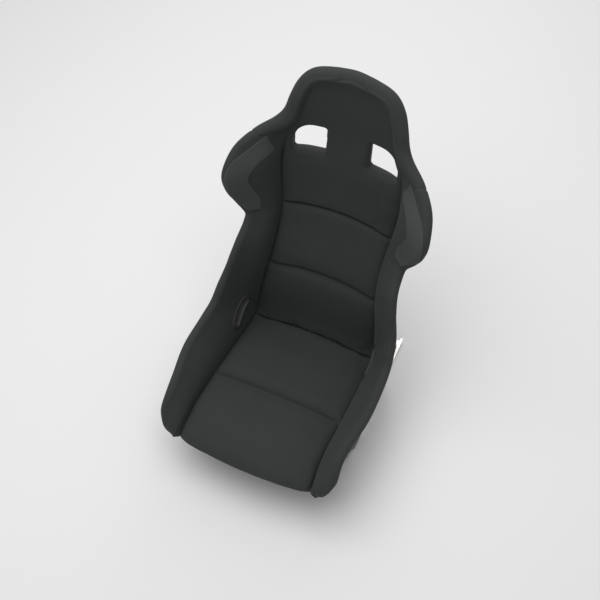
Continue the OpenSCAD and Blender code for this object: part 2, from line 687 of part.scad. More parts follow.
// ---- Lower rails, bolted to the floor ----
lip_w = 7;
notch_l = 5.5;
notch_w = 6;
notch_pitch = 10;
notch_count = 26;
module lower_rail(side) {
    inner = rail_w / 2 - rail_t;
    color(steel)
        translate([side * rail_x, 0, 0])
            difference() {
                translate([0, rail_l / 2, 0])
                    rotate([90, 0, 0])
                        linear_extrude(rail_l)
                            difference() {
                                translate([-rail_w / 2, 0]) square([rail_w, rail_h]);
                                translate([-inner, rail_t]) square([2 * inner, rail_h - 2 * rail_t]);
                                translate([-rail_w / 2 + lip_w, rail_h / 2])
                                    square([rail_w - 2 * lip_w, rail_h]);
                            }
                for (y = [-floor_bolt_pitch / 2, floor_bolt_pitch / 2])
                    translate([0, y, -1]) cylinder(d = floor_hole_d, h = rail_t + 2, $fn = 48);
                for (i = [0 : notch_count - 1], y = (i - (notch_count - 1) / 2) * notch_pitch)
                    translate([-side * (rail_w / 2 - notch_w / 2), y, rail_h])
                        cube([notch_w + 0.6, notch_l, 3 * rail_t], center = true);
            }
}
module lower_rail_left() { lower_rail(left); }
module lower_rail_right() { lower_rail(right); }

// Rivets that stop the glides at the rails' ends
stop_r = 2.5;
stop_h = 5;
module rail_stops() {
    color(steel)
        for (side = [left, right], end = [-1, 1], hand = [left, right])
            translate([side * rail_x + hand * (web_half + 2), end * (rail_l / 2 - stop_r - 1.5), rail_t])
                cylinder(r = stop_r, h = stop_h, $fn = 24);
}

// ---- Release bar: a bent bar across the front, turning on a pin at each rail ----
bar_r = bar_d / 2;
bar_x = bracket_out - foot_w - bar_r - 3;
bar_bend = 30;
hub_r = 6.5;
hub_out = rail_x - rail_w / 2 + 0.3;
hub_in = bar_x - bar_r;
module on_pivot() {
    translate([0, pivot_y, pivot_z]) rotate([-bar_rise, 0, 0]) children();
}
module release_bar() {
    color(black_steel)
        difference() {
            union() {
                on_pivot() {
                    for (side = [left, right]) {
                        translate([side * bar_x, 0, 0])
                            rotate([90, 0, 0]) cylinder(r = bar_r, h = bar_reach - bar_bend, $fn = 32);
                        translate([side * (bar_x - bar_bend), bar_bend - bar_reach, 0])
                            rotate([0, 0, side > 0 ? -90 : 180])
                                rotate_extrude(angle = 90, $fn = 64)
                                    translate([bar_bend, 0]) circle(r = bar_r, $fn = 32);
                    }
                    translate([bar_bend - bar_x, -bar_reach, 0])
                        rotate([0, 90, 0]) cylinder(r = bar_r, h = 2 * (bar_x - bar_bend), $fn = 32);
                }
                for (side = [left, right])
                    along_x(side, hub_in, pivot_y, pivot_z)
                        cylinder(r = hub_r, h = hub_out - hub_in, $fn = 48);
            }
            for (side = [left, right])
                along_x(side, hub_in - 1, pivot_y, pivot_z)
                    cylinder(d = pin_d + 2 * seat_gap, h = hub_out - hub_in + 2, $fn = 32);
        }
}
module bar_grip() {
    color(plastic)
        on_pivot()
            translate([-grip_l / 2, -bar_reach, 0])
                rotate([0, 90, 0])
                    difference() {
                        cylinder(r = bar_r + 2.5, h = grip_l, $fn = 48);
                        translate([0, 0, -1]) cylinder(r = bar_r + seat_gap, h = grip_l + 2, $fn = 32);
                    }
}

// Pawl beside each hub: an eye on the pin and an arm whose teeth hang just over the notches
pawl_t = 5;
pawl_reach = 46;
pawl_eye = 5.5;
tooth_l = 4.5;
tooth_h = 2.5;
module latch_pawl(side) {
    first = floor((pivot_y - pawl_reach + 6) / notch_pitch) * notch_pitch + notch_pitch / 2;
    teeth = [for (i = [0 : 2]) first + i * notch_pitch];
    low = rail_h + run_gap;
    color(steel)
        translate([side * hub_out - (side < 0 ? pawl_t : 0), 0, 0])
            difference() {
                union() {
                    along_x(left, 0, pivot_y, pivot_z) cylinder(r = pawl_eye, h = pawl_t, $fn = 48);
                    translate([0, pivot_y - pawl_reach, low + tooth_h]) cube([pawl_t, pawl_reach, 6]);
                    for (y = teeth)
                        translate([0, y - tooth_l / 2, low]) cube([pawl_t, tooth_l, tooth_h + 1]);
                }
                along_x(left, -1, pivot_y, pivot_z)
                    cylinder(d = pin_d + 2 * seat_gap, h = pawl_t + 2, $fn = 32);
            }
}
module latch_pawl_left() { latch_pawl(left); }
module latch_pawl_right() { latch_pawl(right); }

spring_l = 9;
clip_t = 1.2;
pin_in = hub_in - spring_l - clip_t - 1.5;
module pivot_pins() {
    color(steel)
        for (side = [left, right])
            along_x(side, pin_in, pivot_y, pivot_z)
                cylinder(d = pin_d, h = rail_x - web_half + rail_t - pin_in, $fn = 32);
}
module pin_clips() {
    color(steel)
        for (side = [left, right])
            along_x(side, pin_in + 1, pivot_y, pivot_z)
                difference() {
                    cylinder(r = pin_d / 2 + 2.5, h = clip_t, $fn = 32);
                    translate([0, 0, -1]) cylinder(d = pin_d + 2 * seat_gap, h = clip_t + 2, $fn = 32);
                }
}

// Torsion springs round the pins, between clip and hub: a helix with a straight leg at each end
wire_r = 0.8;
coil_r = pin_d / 2 + wire_r + 0.3;
coil_turns = 4;
coil_steps = 12;
leg = 12;
module return_spring(side) {
    x0 = pin_in + 1 + clip_t + wire_r + 0.3;
    x1 = hub_in - wire_r - 0.3;
    n = coil_turns * coil_steps;
    path = [[x0, leg, coil_r],
        for (i = [0 : n])
            let (a = 360 * i / coil_steps) [mix(x0, x1, i / n), -coil_r * sin(a), coil_r * cos(a)],
        [x1, -leg, coil_r]];
    last = len(path) - 1;
    rings = [for (i = [0 : last])
        let (t = unit(path[min(i + 1, last)] - path[max(i - 1, 0)]), u = unit(cross(t, [1, 0, 0])))
        [for (j = [0 : 5]) path[i] + wire_r * (cos(60 * j) * u + sin(60 * j) * cross(t, u))]];
    faces = [for (i = [0 : last - 1], j = [0 : 5]) let (k = (j + 1) % 6)
        each [[6 * i + j, 6 * i + k, 6 * i + 6 + j], [6 * i + k, 6 * i + 6 + k, 6 * i + 6 + j]]];
    cap = [for (j = [1 : 4]) each [[0, j + 1, j], [6 * last, 6 * last + j, 6 * last + j + 1]]];
    color(steel)
        translate([0, pivot_y, pivot_z])
            mirror([side < 0 ? 1 : 0, 0, 0])
                polyhedron([for (r = rings) each r], concat(faces, cap), convexity = 6);
}
module return_springs() {
    for (side = [left, right]) return_spring(side);
}

shell();
shell_bosses();
base_cushion();
back_cushion();
head_pad();
head_roll();
bolster_left();
bolster_right();
wing_panel_left();
wing_panel_right();
base_hook_strips();
back_hook_strips();
lap_slot_bezel_left();
lap_slot_bezel_right();
shoulder_slot_trim_left();
shoulder_slot_trim_right();
threaded_inserts();
side_bracket_left();
side_bracket_right();
shell_bolts();
shell_bolt_washers();
upper_rail_left();
upper_rail_right();
foot_bolts();
foot_nuts();
glides_left();
glides_right();
lower_rail_left();
lower_rail_right();
rail_stops();
release_bar();
bar_grip();
latch_pawl_left();
latch_pawl_right();
pivot_pins();
pin_clips();
return_springs();
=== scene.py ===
"""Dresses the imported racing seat: sewn covers over foam, a moulded shell, belt slots and metal finishes."""

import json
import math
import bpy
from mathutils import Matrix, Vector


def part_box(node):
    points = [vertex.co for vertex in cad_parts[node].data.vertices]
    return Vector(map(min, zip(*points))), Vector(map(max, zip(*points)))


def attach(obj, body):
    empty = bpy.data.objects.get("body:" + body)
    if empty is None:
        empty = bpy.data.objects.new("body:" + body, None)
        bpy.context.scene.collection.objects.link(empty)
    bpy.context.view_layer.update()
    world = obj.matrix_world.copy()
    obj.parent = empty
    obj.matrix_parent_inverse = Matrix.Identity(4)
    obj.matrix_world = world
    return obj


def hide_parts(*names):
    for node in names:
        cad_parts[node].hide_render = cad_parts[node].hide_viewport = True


bl_info = {
    "name": "Racing seat dresser",
    "version": (1, 0, 0),
    "blender": (4, 5, 0),
    "location": "View3D > Sidebar > Racing seat",
    "description": "Sewn covers, moulded shell and finishes for a bucket seat on slide rails",
    "category": "Add Mesh",
}

import bpy
import numpy as np

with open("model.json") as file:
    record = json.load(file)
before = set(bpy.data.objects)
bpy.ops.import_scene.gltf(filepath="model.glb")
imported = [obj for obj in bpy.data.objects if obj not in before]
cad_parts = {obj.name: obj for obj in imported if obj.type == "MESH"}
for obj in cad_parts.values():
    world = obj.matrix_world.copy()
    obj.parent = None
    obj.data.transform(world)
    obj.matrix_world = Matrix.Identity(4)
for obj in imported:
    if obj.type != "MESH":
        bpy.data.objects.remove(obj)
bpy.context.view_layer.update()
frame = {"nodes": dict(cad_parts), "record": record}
SEAT = "seat"
LEFT, RIGHT = 1, -1
SIDES = {"left": LEFT, "right": RIGHT}

# ---- The seat's form, in millimetres, as the solids have it ----

# One row per station from the front lip, round the pan, up the back to the top of the head:
# the pan's middle (y, z), the knee between pan and wall (x, y, z) and the shell's edge (x, y, z).
FORM = np.array([
    [-430, 128, 204, -414, 130, 226, -411, 166],
    [-412, 149, 204, -397, 147, 233, -394, 209],
    [-375, 166, 204, -362, 156, 232, -362, 242],
    [-325, 172, 204, -318, 158, 236, -316, 257],
    [-225, 150, 204, -225, 138, 249, -232, 262],
    [-115, 122, 204, -115, 110, 249, -140, 260],
    [-20, 98, 203, -25, 88, 246, -85, 268],
    [30, 100, 201, 22, 92, 241, -50, 302],
    [58, 145, 197, 46, 140, 236, -31, 325],
    [78, 235, 188, 62, 225, 228, -17, 356],
    [102, 312, 176, 80, 305, 219, -5, 396],
    [134, 381, 168, 108, 375, 209, 20, 444],
    [164, 438, 168, 136, 432, 205, 56, 473],
    [185, 490, 170, 158, 482, 209, 76, 497],
    [198, 538, 174, 172, 532, 234, 69, 545],
    [207, 588, 177, 179, 585, 250, 56, 594],
    [213, 638, 176, 184, 640, 255, 59, 641],
    [217, 690, 170, 190, 690, 241, 96, 693],
    [219, 732, 156, 196, 734, 205, 136, 731],
    [220, 762, 140, 201, 762, 164, 165, 760],
    [220, 790, 128, 204, 788, 144, 182, 786],
    [221, 826, 116, 208, 823, 133, 192, 826],
    [223, 864, 100, 213, 860, 117, 205, 868],
    [224, 896, 72, 219, 892, 88, 215, 898],
    [224, 913, 28, 222, 911, 36, 221, 911],
], float)
TOP = len(FORM) - 1

SHELL_T = 4.0

# Radius of the roll round the shell's edge, and foam in the middle of each pad
ROLL_R = 13.0
BASE_PAD, BACK_PAD, BOLSTER_PAD, HEAD_ROLL_PAD, HEAD_LOW = 27.0, 22.0, 26.0, 16.0, 11.0

# How far a cushion's underside, a bolster's, the head roll's and a cover lie off the shell; depth of a hem
UNDER, BOLSTER_GAP, HEAD_ROLL_GAP, COVER_GAP, HEM = 2.4, 1.0, 1.8, 0.4, 3.0

# Side places s of the crease beside the cushions and of the cushions' rims; how far they turn out at the nose
CREASE, CUSHION_HALF, NOSE_TURN = 0.5, 0.494, 0.12

# Stations where the cushions begin, end and are sewn; widths of a channel's two shoulders; how much deeper
# than the back's the base's channel is
BASE_ENDS, BASE_SEAMS, BASE_SHOULDERS = (0.15, 6.98), (4.0,), (0.1, 0.22)
BACK_ENDS, BACK_SEAMS, BACK_SHOULDERS = (7.0, 22.46), (10.0, 13.0), (0.3, 0.13)
BASE_CHANNEL_SHARE = 1.5

# Fullness of the head restraint's roll, the length of its front, and what one s and one v count for in it
HEAD_RISE, ROLL_FRONT, ROLL_PER_S, ROLL_PER_V = 8.0, 58.0, 300.0, 56.0

# The inlaid panel on a wing: station, then where it starts and ends across the bolster
# (0 at the crease, 1 at the shell's edge, above 1 a half turn round the roll per unit)
WING = np.array([
    [13.2, 0.74, 1.10], [13.5, 0.67, 1.15], [13.8, 0.61, 1.20], [14.1, 0.60, 1.27], [14.6, 0.635, 1.33],
    [15.1, 0.675, 1.34], [15.5, 0.69, 1.31], [15.9, 0.655, 1.25], [16.2, 0.59, 1.17], [16.5, 0.47, 1.04],
    [16.8, 0.26, 0.93], [17.1, 0.37, 0.85], [17.5, 0.54, 0.79], [17.85, 0.71, 0.755],
])

# The ring between head pad and head roll: the edge's place (v, s) and the roll's start (v, s)
HEAD_RING = np.array([
    [18.2, 1, 18.2, 0.5], [18.6, 1, 18.6, 0.5], [19.1, 1, 19.1, 0.53], [19.6, 1, 19.6, 0.57],
    [20.2, 1, 20.1, 0.59], [20.8, 1, 20.6, 0.61], [21.4, 1, 21.1, 0.61], [22, 1, 21.6, 0.58],
    [22.5, 1, 21.95, 0.53], [23, 1, 22.2, 0.45], [23.5, 1, 22.37, 0.34], [24, 1, 22.47, 0.22],
    [24, 0.5, 22.5, 0.11], [24, 0, 22.5, 0],
], float)

# Shoulder belt slots, their trim, lap belt slots, their bezel, and the play of a cutter round trim and bezel
SLOT_W, SLOT_H, SLOT_X, SLOT_Z = 79.0, 78.0, 57.0, 660.0
SLOT_CORNER, SLOT_BOW = 9.0, 44.0
TRIM_T = 2.6
LAP_Y, LAP_Z, LAP_LEAN = -44.0, 199.0, 33.0
LAP_L, LAP_W, BEZEL_T = 86.0, 24.0, 3.0
PLAY = 0.05

# Side bolts (y, z) with the bosses that reach out to the brackets, and the release bar's pivot
INSERT_R, BOSS_R = 7.05, 16.0
BOLTS = ((-282.0, 190.0), (8.0, 138.0))
BRACKET_X = 225.531
BOSS_LENGTHS = (15.0, 24.5)
PIVOT = (0.0, -60.0, 27.0)

# Wire, coil and legs of a torsion spring, in millimetres and turns
WIRE_R, COIL_R, COIL_TURNS, COIL_ROOM, SPRING_LEG = 0.8, 4.1, 4, 9.0, 12.0

# Stage, in metres and degrees: where each lamp hangs, what it faces and its width; the floor's rings are in
# millimetres as the pieces are
KEY_LAMP = ((-0.35, -0.25, 3.2), (0.0, 0.0, 0.3), 2.8)
BACK_LAMP = ((-0.4, 2.6, 2.4), (0.0, 1.0, 0.0), 2.0)
FLOOR_RINGS, FLOOR_SECTORS = (400, 2000, 30000), 96
CAMERA_PLACE, CAMERA_TURN, CAMERA_LENS = (0.52677, -1.23559, 2.38685), (32.9997, 0.0, 24.391505), 56.4
BACKDROP = (0.78, 0.78, 0.78, 1.0)


def mix(a, b, t):
    """a at t = 0 and b at t = 1, in a straight line between."""
    return a + (b - a) * t


def unit(p):
    """Vectors scaled to length 1."""
    return p / np.maximum(np.linalg.norm(p, axis=-1, keepdims=True), 1e-12)


def step_up(t):
    """Smooth step: 3 t^2 - 2 t^3 between 0 and 1."""
    u = np.clip(t, 0, 1)
    return u * u * (3 - 2 * u)


def spline(rows, v):
    """Catmull-Rom curve through the rows of a table at the places v."""
    last = len(rows) - 1
    i = np.clip(np.floor(v).astype(int), 0, last - 1)
    f = (v - i)[..., None]
    a, b, c, d = rows[np.maximum(i - 1, 0)], rows[i], rows[i + 1], rows[np.minimum(i + 2, last)]
    return b + 0.5 * f * (c - a + f * (2 * a - 5 * b + 4 * c - d + f * (3 * (b - c) + d - a)))


def pan(q, t):
    """The pan across: x grows with t, y and z go from the middle's to the knee's with t squared."""
    return np.stack([q[..., 2] * t, mix(q[..., 0], q[..., 3], t * t), mix(q[..., 1], q[..., 4], t * t)], -1)


def wall(q, w):
    """The side wall: a quadratic Bezier curve from the knee to the edge."""
    w = w[..., None]
    k, r = q[..., 2:5], q[..., 5:8]
    m = mix(k, r, np.array([0.25, 0.6, 0.6]))
    return (1 - w) ** 2 * k + 2 * w * (1 - w) * m + w * w * r


def face(v, s):
    """Inner face of the shell: v runs from the front lip to the top, s from edge (-1) to edge (1).
    The knee between |s| = 0.3 and 0.7 is a quadratic Bezier curve between pan and wall."""
    v, s = np.broadcast_arrays(np.asarray(v, float), np.asarray(s, float))
    q, a = spline(FORM, v), np.abs(s)
    u = ((a - 0.3) / 0.4)[..., None]
    low, high = pan(q, np.full_like(a, 0.6)), wall(q, np.full_like(a, 0.4))
    knee = (1 - u) ** 2 * low + 2 * u * (1 - u) * q[..., 2:5] + u * u * high
    p = np.where(a[..., None] < 0.3, pan(q, 2 * a), np.where(a[..., None] > 0.7, wall(q, 2 * a - 1), knee))
    return p * np.stack([np.where(s < 0, -1.0, 1.0), np.ones_like(s), np.ones_like(s)], -1)


def outward(v, s):
    """Unit normal of the inner face, away from the sitter: cross product of two central differences."""
    v, s = np.broadcast_arrays(np.asarray(v, float), np.asarray(s, float))
    v0, v1 = np.maximum(v - 0.1, 0), np.minimum(v + 0.1, TOP)
    s0, s1 = np.maximum(s - 0.02, -1), np.minimum(s + 0.02, 1)
    return unit(np.cross(face(v1, s) - face(v0, s), face(v, s1) - face(v, s0)))


def at_depth(v, s, d):
    """The point behind the inner face by d millimetres, in front of it where d is below 0."""
    return face(v, s) + np.asarray(d, float)[..., None] * outward(v, s)


def eased(a, b, n, ends=0.7):
    """n + 1 places from a to b, closer together towards both ends."""
    t = np.linspace(0, 1, n + 1)
    return mix(a, b, mix(t, (1 - np.cos(np.pi * t)) / 2, ends))


# ---- Mesh making ----

def grid_faces(rows, columns, wrap=False, ends_meet=False):
    """Quads of a grid of points: wrap joins each row round, ends_meet joins the last row to the first."""
    i, j = np.meshgrid(np.arange(rows - (not ends_meet)), np.arange(columns - (not wrap)), indexing="ij")
    k, n = (j + 1) % columns, (i + 1) % rows
    return np.stack([i * columns + j, n * columns + j, n * columns + k, i * columns + k], -1).reshape(-1, 4)


def arc_lengths(grid):
    """A cloth's own coordinates in metres: length across each row from its middle, length along the rows."""
    across = np.linalg.norm(np.diff(grid, axis=1), axis=-1)
    u = np.concatenate([np.zeros((len(grid), 1)), np.cumsum(across, 1)], 1)
    along = np.linalg.norm(np.diff(grid, axis=0), axis=-1).mean(1)
    v = np.concatenate([[0], np.cumsum(along)])
    return np.stack([u - u[:, -1:] / 2, np.broadcast_to(v[:, None], u.shape)], -1) / 1000


def solid_volume(points, quads):
    """Signed volume of closed quads: a sixth of the triple products of two triangles per quad."""
    a, b, c, d = (points[quads[:, k]] for k in range(4))
    return (np.einsum("ij,ij->i", a, np.cross(b, c)) + np.einsum("ij,ij->i", a, np.cross(c, d))).sum() / 6


def new_object(name, points, quads, uv=None, fans=()):
    """A mesh object from points in millimetres, quads, fans round a pole and cloth coordinates. The quads are
    turned outwards by the sign of the enclosed volume, the fans with them, and a fan is turned once more where
    its first triangle's first edge runs the same way as a quad's."""
    if solid_volume(points, quads) < 0:
        quads = quads[:, ::-1]
        fans = [f[:, ::-1] for f in fans]
    edges = set(map(tuple, np.concatenate([quads[:, [k, (k + 1) % 4]] for k in range(4)]).tolist()))
    turned = [f[:, ::-1] if (int(f[0][0]), int(f[0][1])) in edges else f for f in fans]
    mesh = bpy.data.meshes.new(name)
    mesh.from_pydata((points / 1000).tolist(), [], quads.tolist() + [t for f in turned for t in f.tolist()])
    if uv is not None:
        layer = mesh.uv_layers.new(name="cloth")
        at = np.empty(len(mesh.loops), int)
        mesh.loops.foreach_get("vertex_index", at)
        layer.data.foreach_set("uv", uv[at].astype(np.float32).ravel())
    mesh.polygons.foreach_set("use_smooth", np.ones(len(mesh.polygons), bool))
    mesh.update()
    made = bpy.data.objects.new(name, mesh)
    bpy.context.scene.collection.objects.link(made)
    return made


def fan(first, count, pole):
    """Triangles from a ring of points to one pole."""
    j = np.arange(count)
    return np.stack([first + j, first + (j + 1) % count, np.full(count, pole)], -1)


def tube(name, loops, uv=None):
    """A closed skin over rings of points, one ring per row, each end closed on a pole at its middle."""
    rows, count = loops.shape[:2]
    points = np.concatenate([loops.reshape(-1, 3), [loops[0].mean(0)], [loops[-1].mean(0)]])
    if uv is not None:
        uv = np.concatenate([uv.reshape(-1, 2), [uv[0].mean(0)], [uv[-1].mean(0)]])
    ends = [fan(0, count, rows * count)[:, ::-1], fan((rows - 1) * count, count, rows * count + 1)]
    return new_object(name, points, grid_faces(rows, count, wrap=True), uv, ends)


def band(name, rings):
    """A closed skin over rings of points that come round to the first ring again."""
    rows, count = rings.shape[:2]
    return new_object(name, rings.reshape(-1, 3), grid_faces(rows, count, wrap=True, ends_meet=True))


def slab(name, front, back):
    """A closed form between two grids of points: both grids and a strip round their rims."""
    rows, columns = front.shape[:2]
    count = rows * columns
    quads = grid_faces(rows, columns)
    rim = np.concatenate([
        np.arange(columns), columns * np.arange(1, rows) + columns - 1,
        count - 2 - np.arange(columns - 1), columns * np.arange(rows - 2, 0, -1)])
    after = np.roll(rim, -1)
    strip = np.stack([rim, after, after + count, rim + count], -1)
    points = np.concatenate([front.reshape(-1, 3), back.reshape(-1, 3)])
    uv = np.concatenate([arc_lengths(front).reshape(-1, 2), arc_lengths(back).reshape(-1, 2)])
    return new_object(name, points, np.concatenate([quads, quads[:, ::-1] + count, strip]), uv)


def prism(outline, place, length):
    """A cutter: a flat outline carried along its third axis by length; place puts (a, b, c) in the seat."""
    count = len(outline)
    rings = np.stack([
        place(np.concatenate([outline, np.full((count, 1), c)], 1)) for c in (-length / 2, 0, length / 2)])
    return tube("cutter", rings)


def circle(radius, count):
    """Points of a circle round its middle."""
    a = np.linspace(0, 2 * math.pi, count, endpoint=False)
    return radius * np.stack([np.cos(a), np.sin(a)], -1)


def cut(piece, cutters):
    """Takes the cutters out of the piece with Boolean modifiers, applies them and removes the cutters."""
    for cutter in cutters:
        step = piece.modifiers.new("cut", "BOOLEAN")
        step.operation, step.solver, step.object = "DIFFERENCE", "EXACT", cutter
    applied(piece)
    for cutter in cutters:
        bpy.data.objects.remove(cutter, do_unlink=True)


def applied(piece):
    """The piece's modifiers become part of its mesh."""
    graph = bpy.context.evaluated_depsgraph_get()
    mesh = bpy.data.meshes.new_from_object(
        piece.evaluated_get(graph), preserve_all_data_layers=True, depsgraph=graph)
    piece.modifiers.clear()
    piece.data = mesh
    mesh.polygons.foreach_set("use_smooth", np.ones(len(mesh.polygons), bool))


def join(name, parts):
    """Several mesh objects made one."""
    for part in parts:
        part.select_set(True)
    bpy.context.view_layer.objects.active = parts[0]
    with bpy.context.temp_override(active_object=parts[0], object=parts[0], selected_objects=parts,
                                   selected_editable_objects=parts):
        bpy.ops.object.join()
    parts[0].name = name
    parts[0].select_set(False)
    return parts[0]


def swept(name, path, normal, profile, closed=True):
    """A profile carried along a path: each profile point (a, b) lies a along the normal and b along the
    side direction, which is the cross product of the path's direction and the normal."""
    ahead = np.roll(path, -1, 0) - np.roll(path, 1, 0) if closed else np.gradient(path, axis=0)
    side = unit(np.cross(unit(ahead), normal))
    rings = path[:, None] + profile[None, :, :1] * normal[:, None] + profile[None, :, 1:] * side[:, None]
    return band(name, rings) if closed else tube(name, rings)


def put(piece, finish, body=SEAT, nodes=()):
    """Gives a piece its finish, its body and the nodes it stands for."""
    piece.data.materials.clear()
    piece.data.materials.append(finish)
    if nodes:
        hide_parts(*nodes)
    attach(piece, body)


# ---- Shapes of this seat ----

def crown(t, low, power, fall=0.06):
    """Profile across a pad: full in the middle, rounded down to low at the rim."""
    u = np.minimum(np.abs(t), 1)
    return np.maximum(low, np.sqrt(1 - u ** power) * (1 - fall * u * u))


def channel(v, place, half):
    """A sewn channel: 1 along its flat bottom, with a shoulder on each side, half round and half sloping."""
    u = np.clip((np.abs(v - place) - 0.02) / half, 0, 1)
    return mix(1 - np.sqrt(np.clip(1 - (1 - u) ** 2, 0, 1)), (1 - u) ** 1.8, 0.5)


def slot_outline(grow, corner_points):
    """The belt slot's D: three small corners and one wide bow at the outer top, grown by grow."""
    x0, x1 = SLOT_X - grow, SLOT_X + SLOT_W + grow
    z0, z1 = SLOT_Z - grow, SLOT_Z + SLOT_H + grow
    c, b = SLOT_CORNER + grow, SLOT_BOW + grow
    corners = ((x0 + c, z0 + c, c, 180), (x1 - c, z0 + c, c, 270),
               (x1 - b, z1 - b, b, 0), (x0 + c, z1 - c, c, 90))
    out = []
    for x, z, r, start in corners:
        a = np.radians(start + np.linspace(0, 90, corner_points))
        out.append(np.stack([x + r * np.cos(a), z + r * np.sin(a)], -1))
    return np.concatenate(out)


def evenly(outline, count):
    """A closed outline resampled to count places of equal spacing."""
    ring = np.concatenate([outline, outline[:1]])
    at = np.concatenate([[0], np.cumsum(np.linalg.norm(np.diff(ring, axis=0), axis=-1))])
    want = np.linspace(0, at[-1], count, endpoint=False)
    return np.stack([np.interp(want, at, ring[:, k]) for k in range(ring.shape[1])], -1)


def outline_distance(x, z, outline):
    """Distance from points to a closed outline, below 0 inside it: the least distance to its edges,
    signed by how often a ray to the right crosses it."""
    p = np.stack([x, z], -1)[..., None, :]
    a, b = outline, np.roll(outline, -1, 0)
    e = b - a
    t = np.clip(((p - a) * e).sum(-1) / np.maximum((e * e).sum(-1), 1e-9), 0, 1)
    d = np.linalg.norm(p - a - t[..., None] * e, axis=-1).min(-1)
    px, pz = p[..., 0], p[..., 1]
    crosses = ((a[:, 1] > pz) != (b[:, 1] > pz)) & (px < (b[:, 0] - a[:, 0]) * (pz - a[:, 1]) / np.where(
        np.abs(b[:, 1] - a[:, 1]) < 1e-9, 1e-9, b[:, 1] - a[:, 1]) + a[:, 0])
    return np.where(crosses.sum(-1) % 2 == 1, -d, d)


def slot_cutter(side, grow):
    """A prism through the back along one shoulder belt slot."""
    return prism(evenly(slot_outline(grow, 24), 96),
                 lambda p: np.stack([side * p[:, 0], 160 + p[:, 2], p[:, 1]], -1), 300)


def lap_outline(grow, count=64):
    """The lap belt slot's round-ended outline, length along a and width along b."""
    half, r = (LAP_L - LAP_W) / 2, LAP_W / 2 + grow
    a = np.radians(np.linspace(-90, 90, 24))
    right = np.stack([half + r * np.cos(a), r * np.sin(a)], -1)
    return evenly(np.concatenate([right, -right]), count)


def lap_place(side, a, b, x):
    """A place in the lap slot's leaning frame put in the seat."""
    c, n = math.cos(math.radians(LAP_LEAN)), math.sin(math.radians(LAP_LEAN))
    return np.stack([np.broadcast_to(side * x, a.shape), LAP_Y + a * c - b * n, LAP_Z + a * n + b * c], -1)


def lap_cutter(side, grow):
    """A prism through the side wall along the lap belt slot."""
    return prism(lap_outline(grow), lambda p: lap_place(side, p[:, 0], p[:, 1], 200 + p[:, 2]), 120)


def bolt_cutter(side, y, z, radius, x, length):
    """A round prism along x at one side bolt."""
    return prism(circle(radius, 48),
                 lambda p: np.stack([side * (x + p[:, 2]), y + p[:, 0], z + p[:, 1]], -1), length)


def puckers(u, v, pitch, seed):
    """Small pulls of the cloth beside a seam: three sine waves of different pitch along it."""
    return (np.sin(u / pitch + seed) + 0.6 * np.sin(u / (pitch * 0.61) + 2 * seed + v) +
            0.4 * np.sin(u / (pitch * 1.7) - seed)) / 2


def joined(v):
    """0 where a cushion's side is sewn down beside a bolster, 1 where it runs on into the head's roll."""
    return step_up((v - 15.8) / 2.2)


def crease(v):
    """Side place of the crease beside the cushions: constant, but turned outwards round the nose."""
    return CREASE + NOSE_TURN * (1 - np.sqrt(1 - (1 - np.clip(v / 0.5, 0, 1)) ** 2))


def back_foam(v):
    """Foam in the middle of the back and head cover, thinnest in the head restraint's hollow."""
    return mix(BACK_PAD, HEAD_LOW, step_up((v - 15.4) / 3.0))


def rim_rise(v, t):
    """Fullness of the head restraint's roll: a bell over t, its crest at 0.7 of the way from the roll's start
    to the shell's edge, wider towards the hollow than over the edge."""
    return HEAD_RISE * step_up((v - 17.5) / 1.6) * np.exp(-((t - 0.7) / np.where(t < 0.7, 0.55, 0.38)) ** 2)


def side_pad(v):
    """Foam in the middle of a bolster: full along the side, less where the wing meets the head's roll."""
    return mix(BOLSTER_PAD, HEAD_ROLL_PAD, step_up((v - 16.4) / 1.8))


def cushion_grid(ends, half, thick, seams, reach, rows, columns, depth):
    """Stations, side places and heights of a cushion on the shell: foam crowned across and along, less its
    channels. reach gives the widths of a channel's two shoulders, before and after the seam."""
    v = [eased(ends[0], ends[1], rows, 0.35), [ends[1] - 0.005]]
    for seam in seams:
        v.append(seam + np.linspace(-0.34, 0.34, 34))
    v = np.unique(np.round(np.concatenate(v), 4))[:, None]
    t = mix(np.sin(np.linspace(-1, 1, columns + 1) * math.pi / 2), np.linspace(-1, 1, columns + 1), 0.2)
    t = np.sort(np.concatenate([t, [-0.999, 0.999]]))[None]
    s = t * half(v)
    from_foot, to_top = (v - ends[0]) / 0.34, (ends[1] - v) / 0.34
    from_end = np.clip(np.minimum(from_foot, np.where(joined(ends[1]) > 0, 1, to_top)), 0.03, 1)
    along = np.sqrt(1 - (1 - from_end) ** 2)
    side = crown(t, 0.07, 5, 0.05)
    full = thick(v) * along * mix(side, 1.0, joined(v))
    sewn = np.zeros_like(full)
    for k, seam in enumerate(seams):
        sewn = np.maximum(sewn, channel(v, seam, np.where(v < seam, *reach)))
        full = full + 0.4 * puckers(s * 400, v, 8, k + 1) * np.exp(-((v - seam) / 0.3) ** 2) * crown(t, 0, 4)
    height = np.maximum(1.2, full - depth * sewn * np.ones_like(s))
    return np.broadcast_to(v, s.shape), s, height, sewn * np.ones_like(s)


def roll_frame(v, s, hand, ahead):
    """Edge point, outward normal and the direction away from the shell; ahead is the way along the roll."""
    e, n = face(v, s), outward(v, s)
    return e, n, hand * unit(np.cross(n, ahead))


def roll_height(q, v, middle):
    """Foam of a roll from its start (q = 0) to the shell's edge (q = 1): sewn down at its start, or running
    on from the head pad where the roll belongs to the head restraint. Below 0 it dives under the pad."""
    start = np.sqrt(np.clip(1 - (1 - np.clip(q / 0.34, 0, 1)) ** 2, 0, 1))
    sewn = mix(middle, ROLL_R, step_up((q - 0.35) / 0.65)) * np.maximum(0.06, start)
    smooth = mix(UNDER - COVER_GAP + back_foam(v), ROLL_R, step_up(q)) - 0.6 * step_up(-q / 0.16)
    return mix(sewn, smooth, joined(v)) + rim_rise(v, q)


